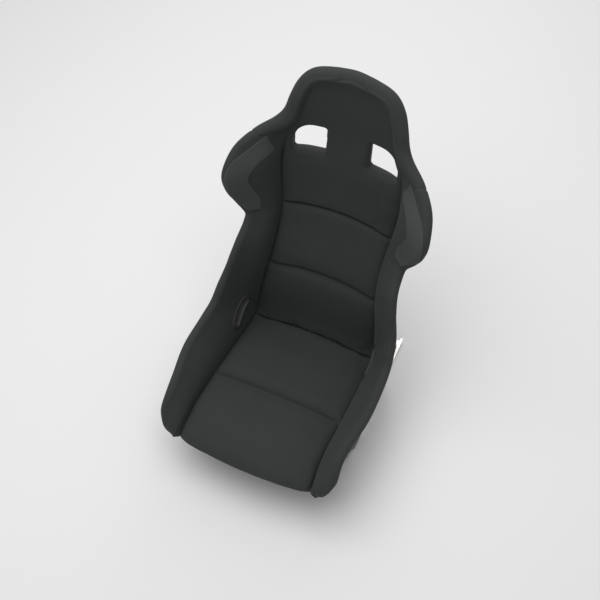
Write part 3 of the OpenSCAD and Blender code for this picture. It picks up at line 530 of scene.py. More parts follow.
def roll_places(rows, q):
    """Stations and side places of a roll for shares q of the way from its start to the shell's edge."""
    return mix(rows[:, 2:3], rows[:, 0:1], q), mix(rows[:, 3:4], rows[:, 1:2], q)


def roll_loops(rows, hand, middle, size, gap, relief):
    """Rings round a roll: up its front, round the shell's edge, back to its hem and along the shell again.
    size swells each ring and relief(v, t) is added to its height, t going on past 1 round the edge."""
    e, n, b = roll_frame(rows[:, 0], rows[:, 1], hand, np.gradient(face(rows[:, 0], rows[:, 1]), axis=0))
    k, v = size[:, None], rows[:, :1]
    start = [-0.04, -0.015, 0.0, 0.012, 0.02, 0.03, 0.045, 0.065, 0.09, 0.12, 0.15, 0.18, 0.21]
    q = np.concatenate([start, np.linspace(0.24, 1, 24)])[None]
    q = q - 0.11 * joined(v) * (1 - q) ** 2
    front = at_depth(*roll_places(rows, q), -COVER_GAP * (1 - np.maximum(q, 0) ** 6)
                     - np.maximum(1.2, roll_height(q, v, middle) * k) - relief(v, q))
    turn = np.linspace(8, 172, 22)[None] / 180
    angle = math.pi * turn[..., None]
    r = (ROLL_R * k + relief(v, 1 + turn) + rim_rise(v, 1 + turn))[..., None]
    arc = e[:, None] + r * (np.sin(angle) * b[:, None] - np.cos(angle) * n[:, None])
    share, behind = np.linspace(1, 0, 9)[None], SHELL_T + gap
    back = at_depth(*roll_places(rows, mix(0.8, 1.0, share)), mix(behind + HEM, ROLL_R * k, step_up(share)))
    hem = np.array([[0.794, 0.792, 0.794]]), np.array([[2.6, 1.5, 0.5]])
    lip = at_depth(*roll_places(rows, hem[0]), behind + hem[1] + 0 * v)
    inner_back = at_depth(*roll_places(rows, np.linspace(0.8, 1, 4)[None]), behind + 0 * v)
    rim = e[:, None] + gap * b[:, None] + np.array([0.8, 0.5, 0.2])[None, :, None] * SHELL_T * n[:, None]
    under = at_depth(*roll_places(rows, mix(1.0, q[:, :1], np.linspace(0, 1, 16)[None])), -gap + 0 * v)
    return np.concatenate([front, arc, back, lip, inner_back, rim, under], 1)


def bolster_skin(v, t, side, lift):
    """Points on a bolster's cover: t from 0 to 1 up its front, then half a turn round the roll per unit."""
    v, t, lift = np.broadcast_arrays(v, t, lift)
    q = np.clip(t, 0, 1)
    front = at_depth(v, side * mix(CREASE, 1.0, q),
                     -COVER_GAP * (1 - q ** 6) - roll_height(q, v, side_pad(v)) - lift)
    e, n, b = roll_frame(v, side + 0 * v, side, face(v + 0.02, side + 0 * v) - face(v - 0.02, side + 0 * v))
    angle = math.pi * np.maximum(t - 1, 0)[..., None]
    arc = e + (ROLL_R + lift + rim_rise(v, t))[..., None] * (np.sin(angle) * b - np.cos(angle) * n)
    return np.where(t[..., None] <= 1, front, arc)


# ---- Cloth simulation ----

CLOTH_FRAMES = 18


def lerp(grid, index, axis):
    """A grid read at fractional places along one axis."""
    low = np.clip(np.floor(index).astype(int), 0, grid.shape[axis] - 2)
    share = (index - low).reshape([-1 if k == axis else 1 for k in range(grid.ndim)])
    return mix(np.take(grid, low, axis), np.take(grid, low + 1, axis), share)


def even_places(lengths, step):
    """Fractional places that divide a length evenly, and where the old places lie among them."""
    count = max(6, int(round(lengths[-1] / step)))
    places = np.interp(np.linspace(0, lengths[-1], count + 1), lengths, np.arange(len(lengths)))
    return places, lengths / lengths[-1] * count


def stuffed(front, under, sewn, swell, cell=8.0):
    """How far a cover moves when the foam fills it out. An even copy of the cover is made into cloth that is
    held at its rim, its underside and its seams, a light pressure swells it for CLOTH_FRAMES frames, and the
    movement is smoothed, limited to swell millimetres and read back at the cover's own points."""
    along = np.concatenate([[0], np.cumsum(np.linalg.norm(np.diff(front, axis=0), axis=-1).mean(1))])
    across = np.concatenate([[0], np.cumsum(np.linalg.norm(np.diff(front, axis=1), axis=-1).mean(0))])
    (rows, back_rows), (columns, back_columns) = even_places(along, cell), even_places(across, cell)
    top, foot, held = (lerp(lerp(g, rows, 0), columns, 1) for g in (front, under, sewn[..., None]))
    pad = slab("cloth_trial", top, foot)
    count = top.shape[0] * top.shape[1]
    weight = np.ones(2 * count)
    rim = np.ones(top.shape[:2])
    rim[1:-1, 1:-1] = np.clip(held[1:-1, 1:-1, 0] * 1.5, 0, 1)
    weight[:count] = rim.ravel()
    group = pad.vertex_groups.new(name="held")
    for value in np.unique(np.round(weight, 1)):
        group.add(np.flatnonzero(np.round(weight, 1) == value).tolist(), float(value), "REPLACE")
    cloth = pad.modifiers.new("cloth", "CLOTH")
    cloth.settings.quality = 6
    cloth.settings.mass = 0.25
    cloth.settings.tension_stiffness = cloth.settings.compression_stiffness = 12.0
    cloth.settings.shear_stiffness = 6.0
    cloth.settings.bending_stiffness = 0.4
    cloth.settings.shrink_min = -0.025
    cloth.settings.use_pressure = True
    cloth.settings.uniform_pressure_force = 4.0
    cloth.settings.vertex_group_mass = "held"
    cloth.settings.effector_weights.gravity = 0.0
    cloth.point_cache.frame_start, cloth.point_cache.frame_end = 1, CLOTH_FRAMES
    for number in range(1, CLOTH_FRAMES + 1):
        bpy.context.scene.frame_set(number)
    moved = pad.evaluated_get(bpy.context.evaluated_depsgraph_get()).to_mesh()
    points = np.empty(6 * count, np.float32)
    moved.vertices.foreach_get("co", points)
    shift = points.reshape(-1, 3)[:count].reshape(top.shape) * 1000.0 - top
    bpy.data.objects.remove(pad, do_unlink=True)
    bpy.context.scene.frame_set(1)
    for _ in range(2):
        shift[1:-1] = (shift[:-2] + 2 * shift[1:-1] + shift[2:]) / 4
        shift[:, 1:-1] = (shift[:, :-2] + 2 * shift[:, 1:-1] + shift[:, 2:]) / 4
    far = np.linalg.norm(shift, axis=-1, keepdims=True)
    shift = shift * swell * np.tanh(far / swell) / np.maximum(far, 1e-6)
    print("cloth moved", round(float(far.max()), 2), "mm at most")
    return lerp(lerp(shift, back_rows, 0), back_columns, 1)


def domed(loops, share, across, outwards):
    """Rings drawn towards ellipses of their own size: share is 0 for a ring left as it is, 1 for an ellipse.
    across is each ring's long axis; a ring's first point lies at the ellipse's end before across."""
    depth = unit(outwards - (outwards * across).sum(-1, keepdims=True) * across)
    ahead = np.cross(across, depth)
    a, d, h = (np.einsum("rki,ri->rk", loops, axis) for axis in (across, depth, ahead))
    steps = np.linalg.norm(np.roll(loops, -1, 1) - loops, axis=-1)
    turn = 2 * math.pi * (np.cumsum(steps, 1) - steps) / steps.sum(1, keepdims=True)
    a, d = (((x.max(1) + x.min(1)) / 2)[:, None] - ((x.max(1) - x.min(1)) / 2)[:, None] * wave
            for x, wave in ((a, np.cos(turn)), (d, np.sin(turn))))
    oval = sum(x[..., None] * axis[:, None] for x, axis in ((a, across), (d, depth), (h, ahead)))
    return mix(loops, oval, share[:, None, None])


def rounded_ends(loops, reach, steps=6):
    """Adds rings at both ends that shrink to a small one while they move on, so that an end is round. Each
    point leaves the last ring the way it came and turns towards the way of the ring's middle."""
    out = []
    for end, sign in ((0, -1), (-1, 1)):
        ring, before = loops[end], loops[1 if end == 0 else -2]
        ahead = unit((ring.mean(0) - before.mean(0))[None])[0]
        share = np.linalg.norm(np.roll(ring, -1, 0) - np.roll(ring, 1, 0), axis=-1, keepdims=True)
        middle = (ring * share).sum(0) / share.sum()
        a = np.linspace(0, 0.485 * math.pi, steps + 1)[1:, None, None]
        way = mix(unit(ring - before), ahead, np.sin(a))
        rings = middle + (ring - middle) * np.cos(a) + way * (reach[0 if end == 0 else 1] * np.sin(a))
        out.append(rings[::-1] if end == 0 else rings)
    return np.concatenate([out[0], loops, out[1]])


def loop_lengths(loops):
    """Cloth coordinates of rings: length round each ring and along the rings, in metres."""
    round_it = np.linalg.norm(np.roll(loops, -1, 1) - loops, axis=-1)
    u = np.concatenate([np.zeros((len(loops), 1)), np.cumsum(round_it, 1)[:, :-1]], 1)
    along = np.linalg.norm(np.diff(loops, axis=0), axis=-1)[:, :36].mean(1)
    v = np.concatenate([[0], np.cumsum(along)])
    return np.stack([u, np.broadcast_to(v[:, None], u.shape)], -1) / 1000


# ---- Shader maths ----

class Link:
    """A shader socket with arithmetic: each operator on it adds one Math node."""

    def __init__(self, finish, socket):
        self.finish, self.socket = finish, socket

    def math(self, how, *terms):
        """One Math node of the given operation."""
        return self.finish.node("ShaderNodeMath", {"operation": how}, dict(enumerate(terms)))

    def __add__(self, other):
        return self.math("ADD", self, other)

    def __sub__(self, other):
        return self.math("SUBTRACT", self, other)

    def __mul__(self, other):
        return self.math("MULTIPLY", self, other)


class Finish:
    """One material: its node tree, with a method for any node and a few that this seat's finishes share."""

    def __init__(self, name):
        self.material = bpy.data.materials.new(name)
        self.material.use_nodes = True
        self.tree = self.material.node_tree
        self.tree.nodes.clear()

    def node(self, kind, settings=None, sockets=None, out=0):
        """A node of that type: its settings first, then values or links for its sockets."""
        made = self.tree.nodes.new(kind)
        for key, value in (settings or {}).items():
            if key == "stops":
                while len(made.color_ramp.elements) < len(value):
                    made.color_ramp.elements.new(1.0)
                for element, (place, colour) in zip(made.color_ramp.elements, value):
                    element.position, element.color = place, (*colour, 1.0)
            else:
                setattr(made, key, value)
        for key, value in (sockets or {}).items():
            if isinstance(value, Link):
                self.tree.links.new(value.socket, made.inputs[key])
            else:
                made.inputs[key].default_value = value
        return Link(self, made.outputs[out]) if made.outputs else None

    def object_place(self):
        """Object coordinates in metres."""
        return self.node("ShaderNodeTexCoord", out=3)

    def cloth_place(self):
        """The piece's own cloth coordinates in metres."""
        return self.node("ShaderNodeUVMap", {"uv_map": "cloth"})

    def noise(self, place, scale, detail=2.0, rough=0.5):
        """Noise from 0 to 1, scale in waves per metre."""
        sockets = {"Vector": place, "Scale": scale, "Detail": detail, "Roughness": rough}
        return self.node("ShaderNodeTexNoise", None, sockets)

    def stretched(self, place, factors):
        """Coordinates scaled by axis."""
        return self.node("ShaderNodeMapping", None, {"Vector": place, "Scale": factors})

    def apart(self, place, axis):
        """One coordinate of a vector."""
        return self.node("ShaderNodeSeparateXYZ", None, {0: place}, out=axis)

    def range(self, value, low, high, to_low, to_high):
        """A value carried from one range to another, held at its ends."""
        return self.node("ShaderNodeMapRange", None, {0: value, 1: low, 2: high, 3: to_low, 4: to_high})

    def colours(self, factor, a, b):
        """Colour a where factor is 0 and b where it is 1."""
        first, second = (c if isinstance(c, Link) else (*c, 1.0) for c in (a, b))
        return self.node("ShaderNodeMix", {"data_type": "RGBA"}, {0: factor, 6: first, 7: second}, out=2)

    def bump(self, height, distance, strength):
        """A Bump node, distance in metres."""
        sockets = {"Height": height, "Distance": distance, "Strength": strength}
        return self.node("ShaderNodeBump", None, sockets)

    def worn_edges(self, radius):
        """1 at sharp edges and 0 elsewhere, from how far a Bevel node turns the normal."""
        soft = self.node("ShaderNodeBevel", {"samples": 4}, {"Radius": radius})
        hard = self.node("ShaderNodeNewGeometry", out=1)
        same = self.node("ShaderNodeVectorMath", {"operation": "DOT_PRODUCT"}, {0: soft, 1: hard}, out=1)
        return self.range(same, 0.995, 0.9, 0.0, 1.0)

    def close(self, **sockets):
        """Ends the material in one Principled shader; socket names are written with underscores."""
        values = {key.replace("_", " "): (*value, 1.0) if isinstance(value, tuple) else value
                  for key, value in sockets.items()}
        shader = self.node("ShaderNodeBsdfPrincipled", None, values)
        self.node("ShaderNodeOutputMaterial", None, {"Surface": shader})
        return self.material


def velour(name, colour, pitch, rib, sheen):
    """Short-napped knit: fine loops along the cloth, soft patches where the nap lies over, and a lint-like
    grain. rib above 0 adds raised cords that run along the cloth, their colour lighter on the crests and
    darker in the grooves between them: painted highlight and painted shade."""
    f = Finish(name)
    cloth, place = f.cloth_place(), f.object_place()
    u, v = f.apart(cloth, 0), f.apart(cloth, 1)
    turn = 2 * math.pi / pitch
    loops = (u * turn).math("SINE", u * turn) * (v * (turn * 0.8)).math("SINE", v * (turn * 0.8))
    grain = f.noise(place, 2600.0, 2.0, 0.6)
    nap = f.noise(f.stretched(place, (1.0, 1.0, 0.6)), 9.0, 3.0, 0.55)
    height = loops * 0.35 + grain * 0.9
    shade = f.range(nap, 0.3, 0.7, 0.0, 1.0) * 0.55 + grain * 0.45
    if rib:
        cords = (u * (2 * math.pi / rib)).math("SINE", u * (2 * math.pi / rib))
        height = height + cords * 1.6
        # The cords' colour is lighter on their crests and darker in their grooves: painted highlight and
        # painted shade over the ribs.
        shade = shade * 0.8 + cords * 0.1 + 0.1
    low, high = tuple(c * 0.84 for c in colour), tuple(c * 1.14 for c in colour)
    return f.close(
        Base_Color=f.colours(shade, low, high), Roughness=f.range(nap, 0.3, 0.7, 0.86, 0.96),
        Normal=f.bump(height, 0.00022, 0.6), Sheen_Weight=sheen, Sheen_Roughness=0.45,
        Sheen_Tint=(0.75, 0.78, 0.77), Specular_IOR_Level=0.25)


def gel_coat(name, colour):
    """Moulded laminate with a gel coat: faint orange peel, a cloudy gloss and dust-fine scratches."""
    f = Finish(name)
    place = f.object_place()
    peel = f.noise(place, 260.0, 2.0, 0.5)
    cloud = f.noise(place, 14.0, 4.0, 0.6)
    scratches = f.noise(f.stretched(place, (1.0, 30.0, 3.0)), 60.0, 2.0, 0.7)
    rough = f.range(cloud, 0.35, 0.7, 0.24, 0.38) + f.range(scratches, 0.62, 0.75, 0.0, 0.12)
    return f.close(
        Base_Color=f.colours(cloud, tuple(c * 0.8 for c in colour), tuple(c * 1.25 for c in colour)),
        Roughness=rough, Normal=f.bump(peel, 0.0004, 0.35), Coat_Weight=0.35, Coat_Roughness=0.12)


def grained(name, colour, scale, rough, depth=0.00012):
    """Moulded plastic or rubber with a fine grain and slightly polished high places."""
    f = Finish(name)
    place = f.object_place()
    grain = f.noise(place, scale, 3.0, 0.6)
    patch = f.noise(place, 35.0, 2.0, 0.5)
    return f.close(
        Base_Color=f.colours(patch, tuple(c * 0.85 for c in colour), tuple(c * 1.2 for c in colour)),
        Roughness=f.range(grain, 0.3, 0.7, rough + 0.08, rough - 0.06), Normal=f.bump(grain, depth, 0.6))


def powder_coat(name, colour):
    """Textured powder coat with metal showing where edges are rubbed."""
    f = Finish(name)
    place = f.object_place()
    pebbles = f.noise(place, 900.0, 2.0, 0.5)
    patch = f.noise(place, 60.0, 4.0, 0.65)
    bare = f.worn_edges(0.0012) * f.range(patch, 0.5, 0.62, 0.0, 0.85)
    return f.close(
        Base_Color=f.colours(bare, colour, (0.42, 0.41, 0.4)), Metallic=bare,
        Roughness=f.range(pebbles, 0.3, 0.7, 0.5, 0.62) - bare * 0.15, Normal=f.bump(pebbles, 0.00018, 0.5))


def zinc_plate(name, colour, brushed=(1.0, 18.0, 18.0)):
    """Zinc plated steel: fine streaks along the rolling direction, cloudy passivation and dull edges."""
    f = Finish(name)
    place = f.object_place()
    streaks = f.noise(f.stretched(place, (brushed[1], brushed[0], brushed[2])), 120.0, 3.0, 0.6)
    cloud = f.noise(place, 45.0, 4.0, 0.6)
    dull = (colour[0] * 0.86, colour[1] * 0.86, colour[2] * 0.8)
    tint = f.colours(f.range(cloud, 0.35, 0.7, 0.0, 1.0), colour, dull)
    edge = f.worn_edges(0.0008)
    return f.close(
        Base_Color=f.colours(edge * 0.4, tint, (0.8, 0.8, 0.79)), Metallic=1.0,
        Roughness=f.range(streaks, 0.3, 0.7, 0.3, 0.46), Normal=f.bump(streaks, 0.00005, 0.35))


def hook_tape(name):
    """Woven tape set with small hooks: rows of dark dots over a ribbed ground."""
    f = Finish(name)
    place = f.object_place()
    dots = f.node("ShaderNodeTexVoronoi", None, {"Vector": place, "Scale": 700.0})
    return f.close(
        Base_Color=f.colours(f.range(dots, 0.1, 0.6, 0.0, 1.0), (0.05, 0.05, 0.05), (0.012, 0.012, 0.012)),
        Roughness=0.8, Normal=f.bump(dots, 0.0006, 0.8))


def turned_brass(name):
    """Turned brass with fine rings and a faint tarnish."""
    f = Finish(name)
    place = f.object_place()
    rings = f.noise(f.stretched(place, (60.0, 1.0, 1.0)), 90.0, 1.0)
    return f.close(
        Base_Color=f.colours(f.noise(place, 80.0), (0.62, 0.45, 0.17), (0.76, 0.6, 0.28)), Metallic=1.0,
        Roughness=f.range(rings, 0.3, 0.7, 0.22, 0.36), Normal=f.bump(rings, 0.00004, 0.4))


FINISHES = {}


def finish_of(slot):
    """The finish of a material slot, made once."""
    if slot not in FINISHES:
        look = bpy.context.scene.seat_looks
        cover, panel = tuple(look.cover_colour), tuple(look.panel_colour)
        FINISHES[slot] = {
            "shell": lambda: gel_coat("gel_coat", tuple(look.shell_colour)),
            "cover_fabric": lambda: velour("velour", cover, look.loop_pitch, 0.0, look.sheen),
            "panel_fabric": lambda: velour("ribbed_panel", panel, look.loop_pitch, 0.0026, look.sheen),
            "hook_tape": lambda: hook_tape("hook_tape"),
            "bezel_plastic": lambda: grained("bezel_plastic", (0.022, 0.023, 0.023), 1400.0, 0.6),
            "trim_rubber": lambda: grained("trim_rubber", (0.018, 0.018, 0.018), 900.0, 0.7),
            "insert_brass": lambda: turned_brass("insert_brass"),
            "bracket_steel": lambda: powder_coat("bracket_powder_coat", (0.024, 0.024, 0.026)),
            "rail_steel": lambda: zinc_plate("rail_zinc", (0.66, 0.66, 0.65)),
            "glide_plastic": lambda: grained("glide_acetal", (0.72, 0.7, 0.62), 300.0, 0.4),
            "bar_steel": lambda: powder_coat("bar_powder_coat", (0.022, 0.022, 0.023)),
            "grip_rubber": lambda: grained("grip_rubber", (0.02, 0.02, 0.02), 1500.0, 0.75, 0.0003),
            "latch_steel": lambda: zinc_plate("latch_zinc", (0.6, 0.59, 0.55), (1.0, 6.0, 6.0)),
            "fastener_steel": lambda: zinc_plate("fastener_zinc", (0.64, 0.64, 0.62), (1.0, 3.0, 3.0)),
        }[slot]()
    return FINISHES[slot]


# ---- Settings ----

class SeatLooks(bpy.types.PropertyGroup):
    """Colours and cloth of the seat."""

    cover_colour: bpy.props.FloatVectorProperty(
        name="Cover colour", description="Velour of cushions, bolsters and head restraint", subtype="COLOR",
        size=3, min=0, max=1, default=(0.033, 0.037, 0.036))
    panel_colour: bpy.props.FloatVectorProperty(
        name="Panel colour", description="Ribbed cloth of the wing panels", subtype="COLOR",
        size=3, min=0, max=1, default=(0.056, 0.063, 0.061))
    shell_colour: bpy.props.FloatVectorProperty(
        name="Shell colour", description="Gel coat of the moulded shell", subtype="COLOR",
        size=3, min=0, max=1, default=(0.018, 0.018, 0.019))
    loop_pitch: bpy.props.FloatProperty(
        name="Loop pitch", description="Distance between the knit's loops", unit="LENGTH",
        default=0.0011, min=0.0003)
    sheen: bpy.props.FloatProperty(
        name="Sheen", description="Strength of the nap's sheen", default=0.05, min=0, max=1)


class SeatSizes(bpy.types.PropertyGroup):
    """Sizes of the covers' details."""

    channel_depth: bpy.props.FloatProperty(
        name="Channel depth", description="Depth of the channels sewn across the cushions", unit="LENGTH",
        default=0.012, min=0, max=0.016)
    lip_radius: bpy.props.FloatProperty(
        name="Slot lip radius", description="Rounding of the cover round the shoulder belt slots",
        unit="LENGTH", default=0.012, min=0.002, max=0.03)
    swell: bpy.props.FloatProperty(
        name="Swell", description="Greatest movement of a cushion's cover in the cloth simulation",
        unit="LENGTH", default=0.004, min=0, max=0.01)
    wing_seam: bpy.props.FloatProperty(
        name="Wing seam depth", description="Depth of the short seam over each wing", unit="LENGTH",
        default=0.0014, min=0, max=0.004)
    panel_rise: bpy.props.FloatProperty(
        name="Panel rise", description="How far the wing panels stand on the bolster", unit="LENGTH",
        default=0.0016, min=0.0005, max=0.003)


class SeatStage(bpy.types.PropertyGroup):
    """Floor and light."""

    floor_colour: bpy.props.FloatVectorProperty(
        name="Floor colour", description="Plain pale floor", subtype="COLOR", size=3, min=0, max=1,
        default=(0.80, 0.80, 0.80))
    lamp_power: bpy.props.FloatProperty(
        name="Key lamp", description="Power of the large soft lamp overhead", unit="POWER",
        default=76.0, min=0)
    back_power: bpy.props.FloatProperty(
        name="Back lamp", description="Power of the lamp over the far floor", unit="POWER",
        default=22.0, min=0)
    sky: bpy.props.FloatProperty(
        name="Room light", description="Strength of the even room light", default=0.38, min=0)


# ---- Operators ----

class SEAT_OT_shell(bpy.types.Operator):
    """Moulded shell: both faces of the form, a round rim, bosses for the side bolts and all belt slots"""

    bl_idname = "racing_seat.shell"
    bl_label = "Shell"

    def execute(self, context):
        v = np.unique(np.concatenate([eased(0, TOP, 150, 0.2), np.linspace(6, 8.4, 20)]))[:, None]
        v, s = np.broadcast_arrays(v, np.linspace(-1, 1, 97)[None])
        rim = 0.3 * SHELL_T * (1 - np.clip((1 - np.abs(s)) * 60, 0, 1))
        parts, cutters = [slab("moulded_shell", at_depth(v, s, rim), at_depth(v, s, SHELL_T - rim))], []
        for side in SIDES.values():
            cutters += [slot_cutter(side, TRIM_T + PLAY), lap_cutter(side, BEZEL_T + PLAY)]
            for (y, z), length in zip(BOLTS, BOSS_LENGTHS):
                parts.append(self.boss(side, y, z, length))
                cutters.append(bolt_cutter(side, y, z, INSERT_R, BRACKET_X, 32))
        body = join("moulded_shell", parts)
        cut(body, cutters)
        put(body, finish_of("shell"), nodes=["shell", "shell_bosses"])
        return {"FINISHED"}

    def boss(self, side, y, z, length):
        """A round boss from the shell to a bracket: a profile of (radius, height) turned round the bolt.
        Its root has a fillet, which lies further out where the boss is short, and its face a chamfer."""
        root = 5 if length < 20 else 0
        profile = np.array([
            [BOSS_R + 5, root], [BOSS_R + 1.6, root + 1.2], [BOSS_R + 0.3, root + 3.2], [BOSS_R, root + 5.5],
            [BOSS_R, length - 0.8], [BOSS_R - 0.8, length]])
        ring = circle(1, 64)[None]
        r, h = profile[:, :1], profile[:, 1:]
        x = np.broadcast_to(side * (BRACKET_X - length + h), (len(r), ring.shape[1]))
        return tube("boss", np.stack([x, y + r * ring[..., 0], z + r * ring[..., 1]], -1))


class SEAT_OT_base_cushion(bpy.types.Operator):
    """Base cushion: a crowned pad on the pan with one sewn channel across it"""

    bl_idname = "racing_seat.base_cushion"
    bl_label = "Base cushion"

    def execute(self, context):
        sizes = context.scene.seat_sizes
        v, s, height, sewn = cushion_grid(
            BASE_ENDS, lambda v: crease(v) - CREASE + CUSHION_HALF, lambda v: BASE_PAD + 0 * v, BASE_SEAMS,
            BASE_SHOULDERS, 110, 80, sizes.channel_depth * 1000 * BASE_CHANNEL_SHARE)
        under = at_depth(v, s, np.full_like(s, -UNDER))
        front = at_depth(v, s, -UNDER - height)
        front = front + stuffed(front, under, sewn, sizes.swell * 1000)
        put(slab("base_cushion_cover", front, under), finish_of("cover_fabric"),
            nodes=["base_cushion"])
        return {"FINISHED"}


class SEAT_OT_back_cover(bpy.types.Operator):
    """Back cushion and head pad in one cover: two sewn channels and a round lip at each shoulder slot"""

    bl_idname = "racing_seat.back_cover"
    bl_label = "Back and head cover"

    def execute(self, context):
        sizes = context.scene.seat_sizes
        straight = [[BACK_ENDS[0], CUSHION_HALF], [HEAD_RING[1, 2], CUSHION_HALF]]
        ring = np.concatenate([straight, HEAD_RING[2:, 2:] - [0, CREASE - CUSHION_HALF]])

        def half(v):
            """Half width of the cover: that of the back cushion, then the head ring's."""
            return np.maximum(0.06, np.interp(v, ring[:, 0], ring[:, 1]))

        v, s, height, sewn = cushion_grid(
            BACK_ENDS, half, back_foam, BACK_SEAMS, BACK_SHOULDERS, 200, 90, sizes.channel_depth * 1000)
        arch = ring[np.argmax(ring[:, 1]) + 1:][::-1]
        aside = np.maximum(half(v) - np.abs(s), 0) * ROLL_PER_S
        below = np.maximum(np.interp(np.abs(s), arch[:, 1], arch[:, 0]) - v, 0) * ROLL_PER_V
        from_rim = aside * below / np.maximum(np.hypot(aside, below), 1e-6)
        height = height + rim_rise(v, -from_rim / ROLL_FRONT)
        under = at_depth(v, s, np.full_like(s, -UNDER))
        lip = sizes.lip_radius * 1000
        away = outline_distance(np.abs(under[..., 0]), under[..., 2], evenly(slot_outline(0, 16), 72))
        near = np.clip(away / lip, 0, 1)
        height = height * (0.12 + 0.88 * np.sqrt(1 - (1 - near) ** 2))
        front = at_depth(v, s, -UNDER - height)
        held = np.maximum(sewn, step_up(1.6 - away / lip))
        calm = (1 - joined(v))[..., None]
        front = front + stuffed(front, under, held, sizes.swell * 1000) * calm
        piece = slab("back_and_head_cover", front, under)
        cut(piece, [slot_cutter(side, 0.2) for side in SIDES.values()])
        put(piece, finish_of("cover_fabric"), nodes=["back_cushion", "head_pad"])
        return {"FINISHED"}


class SEAT_OT_head_roll(bpy.types.Operator):
    """Raised roll round the head restraint, over the shell's edge"""

    bl_idname = "racing_seat.head_roll"
    bl_label = "Head roll"

    def execute(self, context):
        back = HEAD_RING[-2::-1] * [1, -1, 1, -1]
        rows = spline(np.concatenate([HEAD_RING, back]), np.linspace(0, 2 * len(HEAD_RING) - 2, 190))
        rows[:, [0, 2]] = np.clip(rows[:, [0, 2]], 0, TOP)
        rows[:, [1, 3]] = np.clip(rows[:, [1, 3]], -1, 1)
        loops = roll_loops(rows, LEFT, HEAD_ROLL_PAD, np.ones(len(rows)), HEAD_ROLL_GAP,
                           lambda v, t: -0.35 * step_up((18.55 - v) / 0.3) + 0 * t)
        for _ in range(8):
            loops[1:-1] = (loops[:-2] + 2 * loops[1:-1] + loops[2:]) / 4
        loops = rounded_ends(loops, (0.4, 0.4))
        piece = tube("head_roll_cover", loops, loop_lengths(loops))
        put(piece, finish_of("cover_fabric"), nodes=["head_roll"])
        return {"FINISHED"}


class SEAT_OT_bolsters(bpy.types.Operator):
    """Side bolsters: thigh, hip, lumbar and shoulder wing in one roll over the shell's edge"""

    bl_idname = "racing_seat.bolsters"
    bl_label = "Side bolsters"

    def execute(self, context):
        seam = context.scene.seat_sizes.wing_seam * 1000
        for name, side in SIDES.items():
            v = np.unique(np.concatenate([
                np.linspace(0.2, 1, 26), np.linspace(1, 18.8, 200), np.linspace(17.6, 18.2, 40)]))
            rows = np.stack([v, np.full_like(v, side), v, side * crease(v)], -1)
            size = np.sqrt(1 - (1 - np.minimum(1, 0.3 + v / 1.1)) ** 2)

            def relief(v, t):
                """The short seam over the wing, and the end that dives under the head roll."""
                place = 17.88 + 0.08 * np.sin((t - 0.75) * 4)
                groove = np.exp(-((v - place) / 0.045) ** 2) * step_up((t - 0.68) / 0.06)
                fullness = 0.35 * np.sin(v * 2.3 + 1.0) * np.exp(-((t - 0.6) / 0.35) ** 2)
                return -seam * groove + fullness - 0.35 * step_up((v - 18.45) / 0.3)

            loops = roll_loops(rows, side, side_pad(v[:, None]), size, BOLSTER_GAP, relief)
            across = unit(face(v, side + 0 * v) - face(v, side * crease(v)))
            loops = domed(loops, 1 - step_up((v - 0.1) / 0.8), across, outward(v, side * 0.75 + 0 * v))
            loops = rounded_ends(loops, (21.0, 0.4), 12)
            piece = tube(f"bolster_cover_{name}", loops, loop_lengths(loops))
            cutters = [lap_cutter(side, BEZEL_T + 0.4)]
            for (y, z), length in zip(BOLTS, BOSS_LENGTHS):
                middle = BRACKET_X - length / 2 + 10
                cutters.append(bolt_cutter(side, y, z, BOSS_R + 1, middle, length + 22))
            cut(piece, cutters)
            put(piece, finish_of("cover_fabric"), nodes=[f"bolster_{name}"])
        return {"FINISHED"}


class SEAT_OT_wing_panels(bpy.types.Operator):
    """Inlaid wing panels: a thin quilted skin on the bolster, cut to a crescent with a point at its top"""

    bl_idname = "racing_seat.wing_panels"
    bl_label = "Wing panels"

    def execute(self, context):
        rise = context.scene.seat_sizes.panel_rise * 1000
        share = eased(0, 1, 44, 0.6)[None]
        v = eased(WING[0, 0], WING[-1, 0], 110, 0.5)[:, None]
        start, end = (np.interp(v, WING[:, 0], WING[:, k]) for k in (1, 2))
        for _ in range(3):
            start[1:-1], end[1:-1] = ((g[:-2] + 2 * g[1:-1] + g[2:]) / 4 for g in (start, end))
        t = mix(start, end, share)
        for name, side in SIDES.items():
            flat = bolster_skin(v, t, side, 0.0)
            u = arc_lengths(flat) * 1000
            from_side = np.minimum(u[..., 0] - u[:, :1, 0], u[:, -1:, 0] - u[..., 0])
            from_end = np.minimum(u[..., 1], u[-1:, :, 1] - u[..., 1])
            inward = np.clip(np.minimum(from_side, from_end) / 3.0, 0, 1)
            lift = -0.8 + (rise + 0.8) * np.sqrt(1 - (1 - inward) ** 2)
            top, foot = bolster_skin(v, t, side, lift), bolster_skin(v, t, side, -1.5)
            piece = slab(f"wing_panel_cover_{name}", top, foot)
            put(piece, finish_of("panel_fabric"), nodes=[f"wing_panel_{name}"])
        return {"FINISHED"}


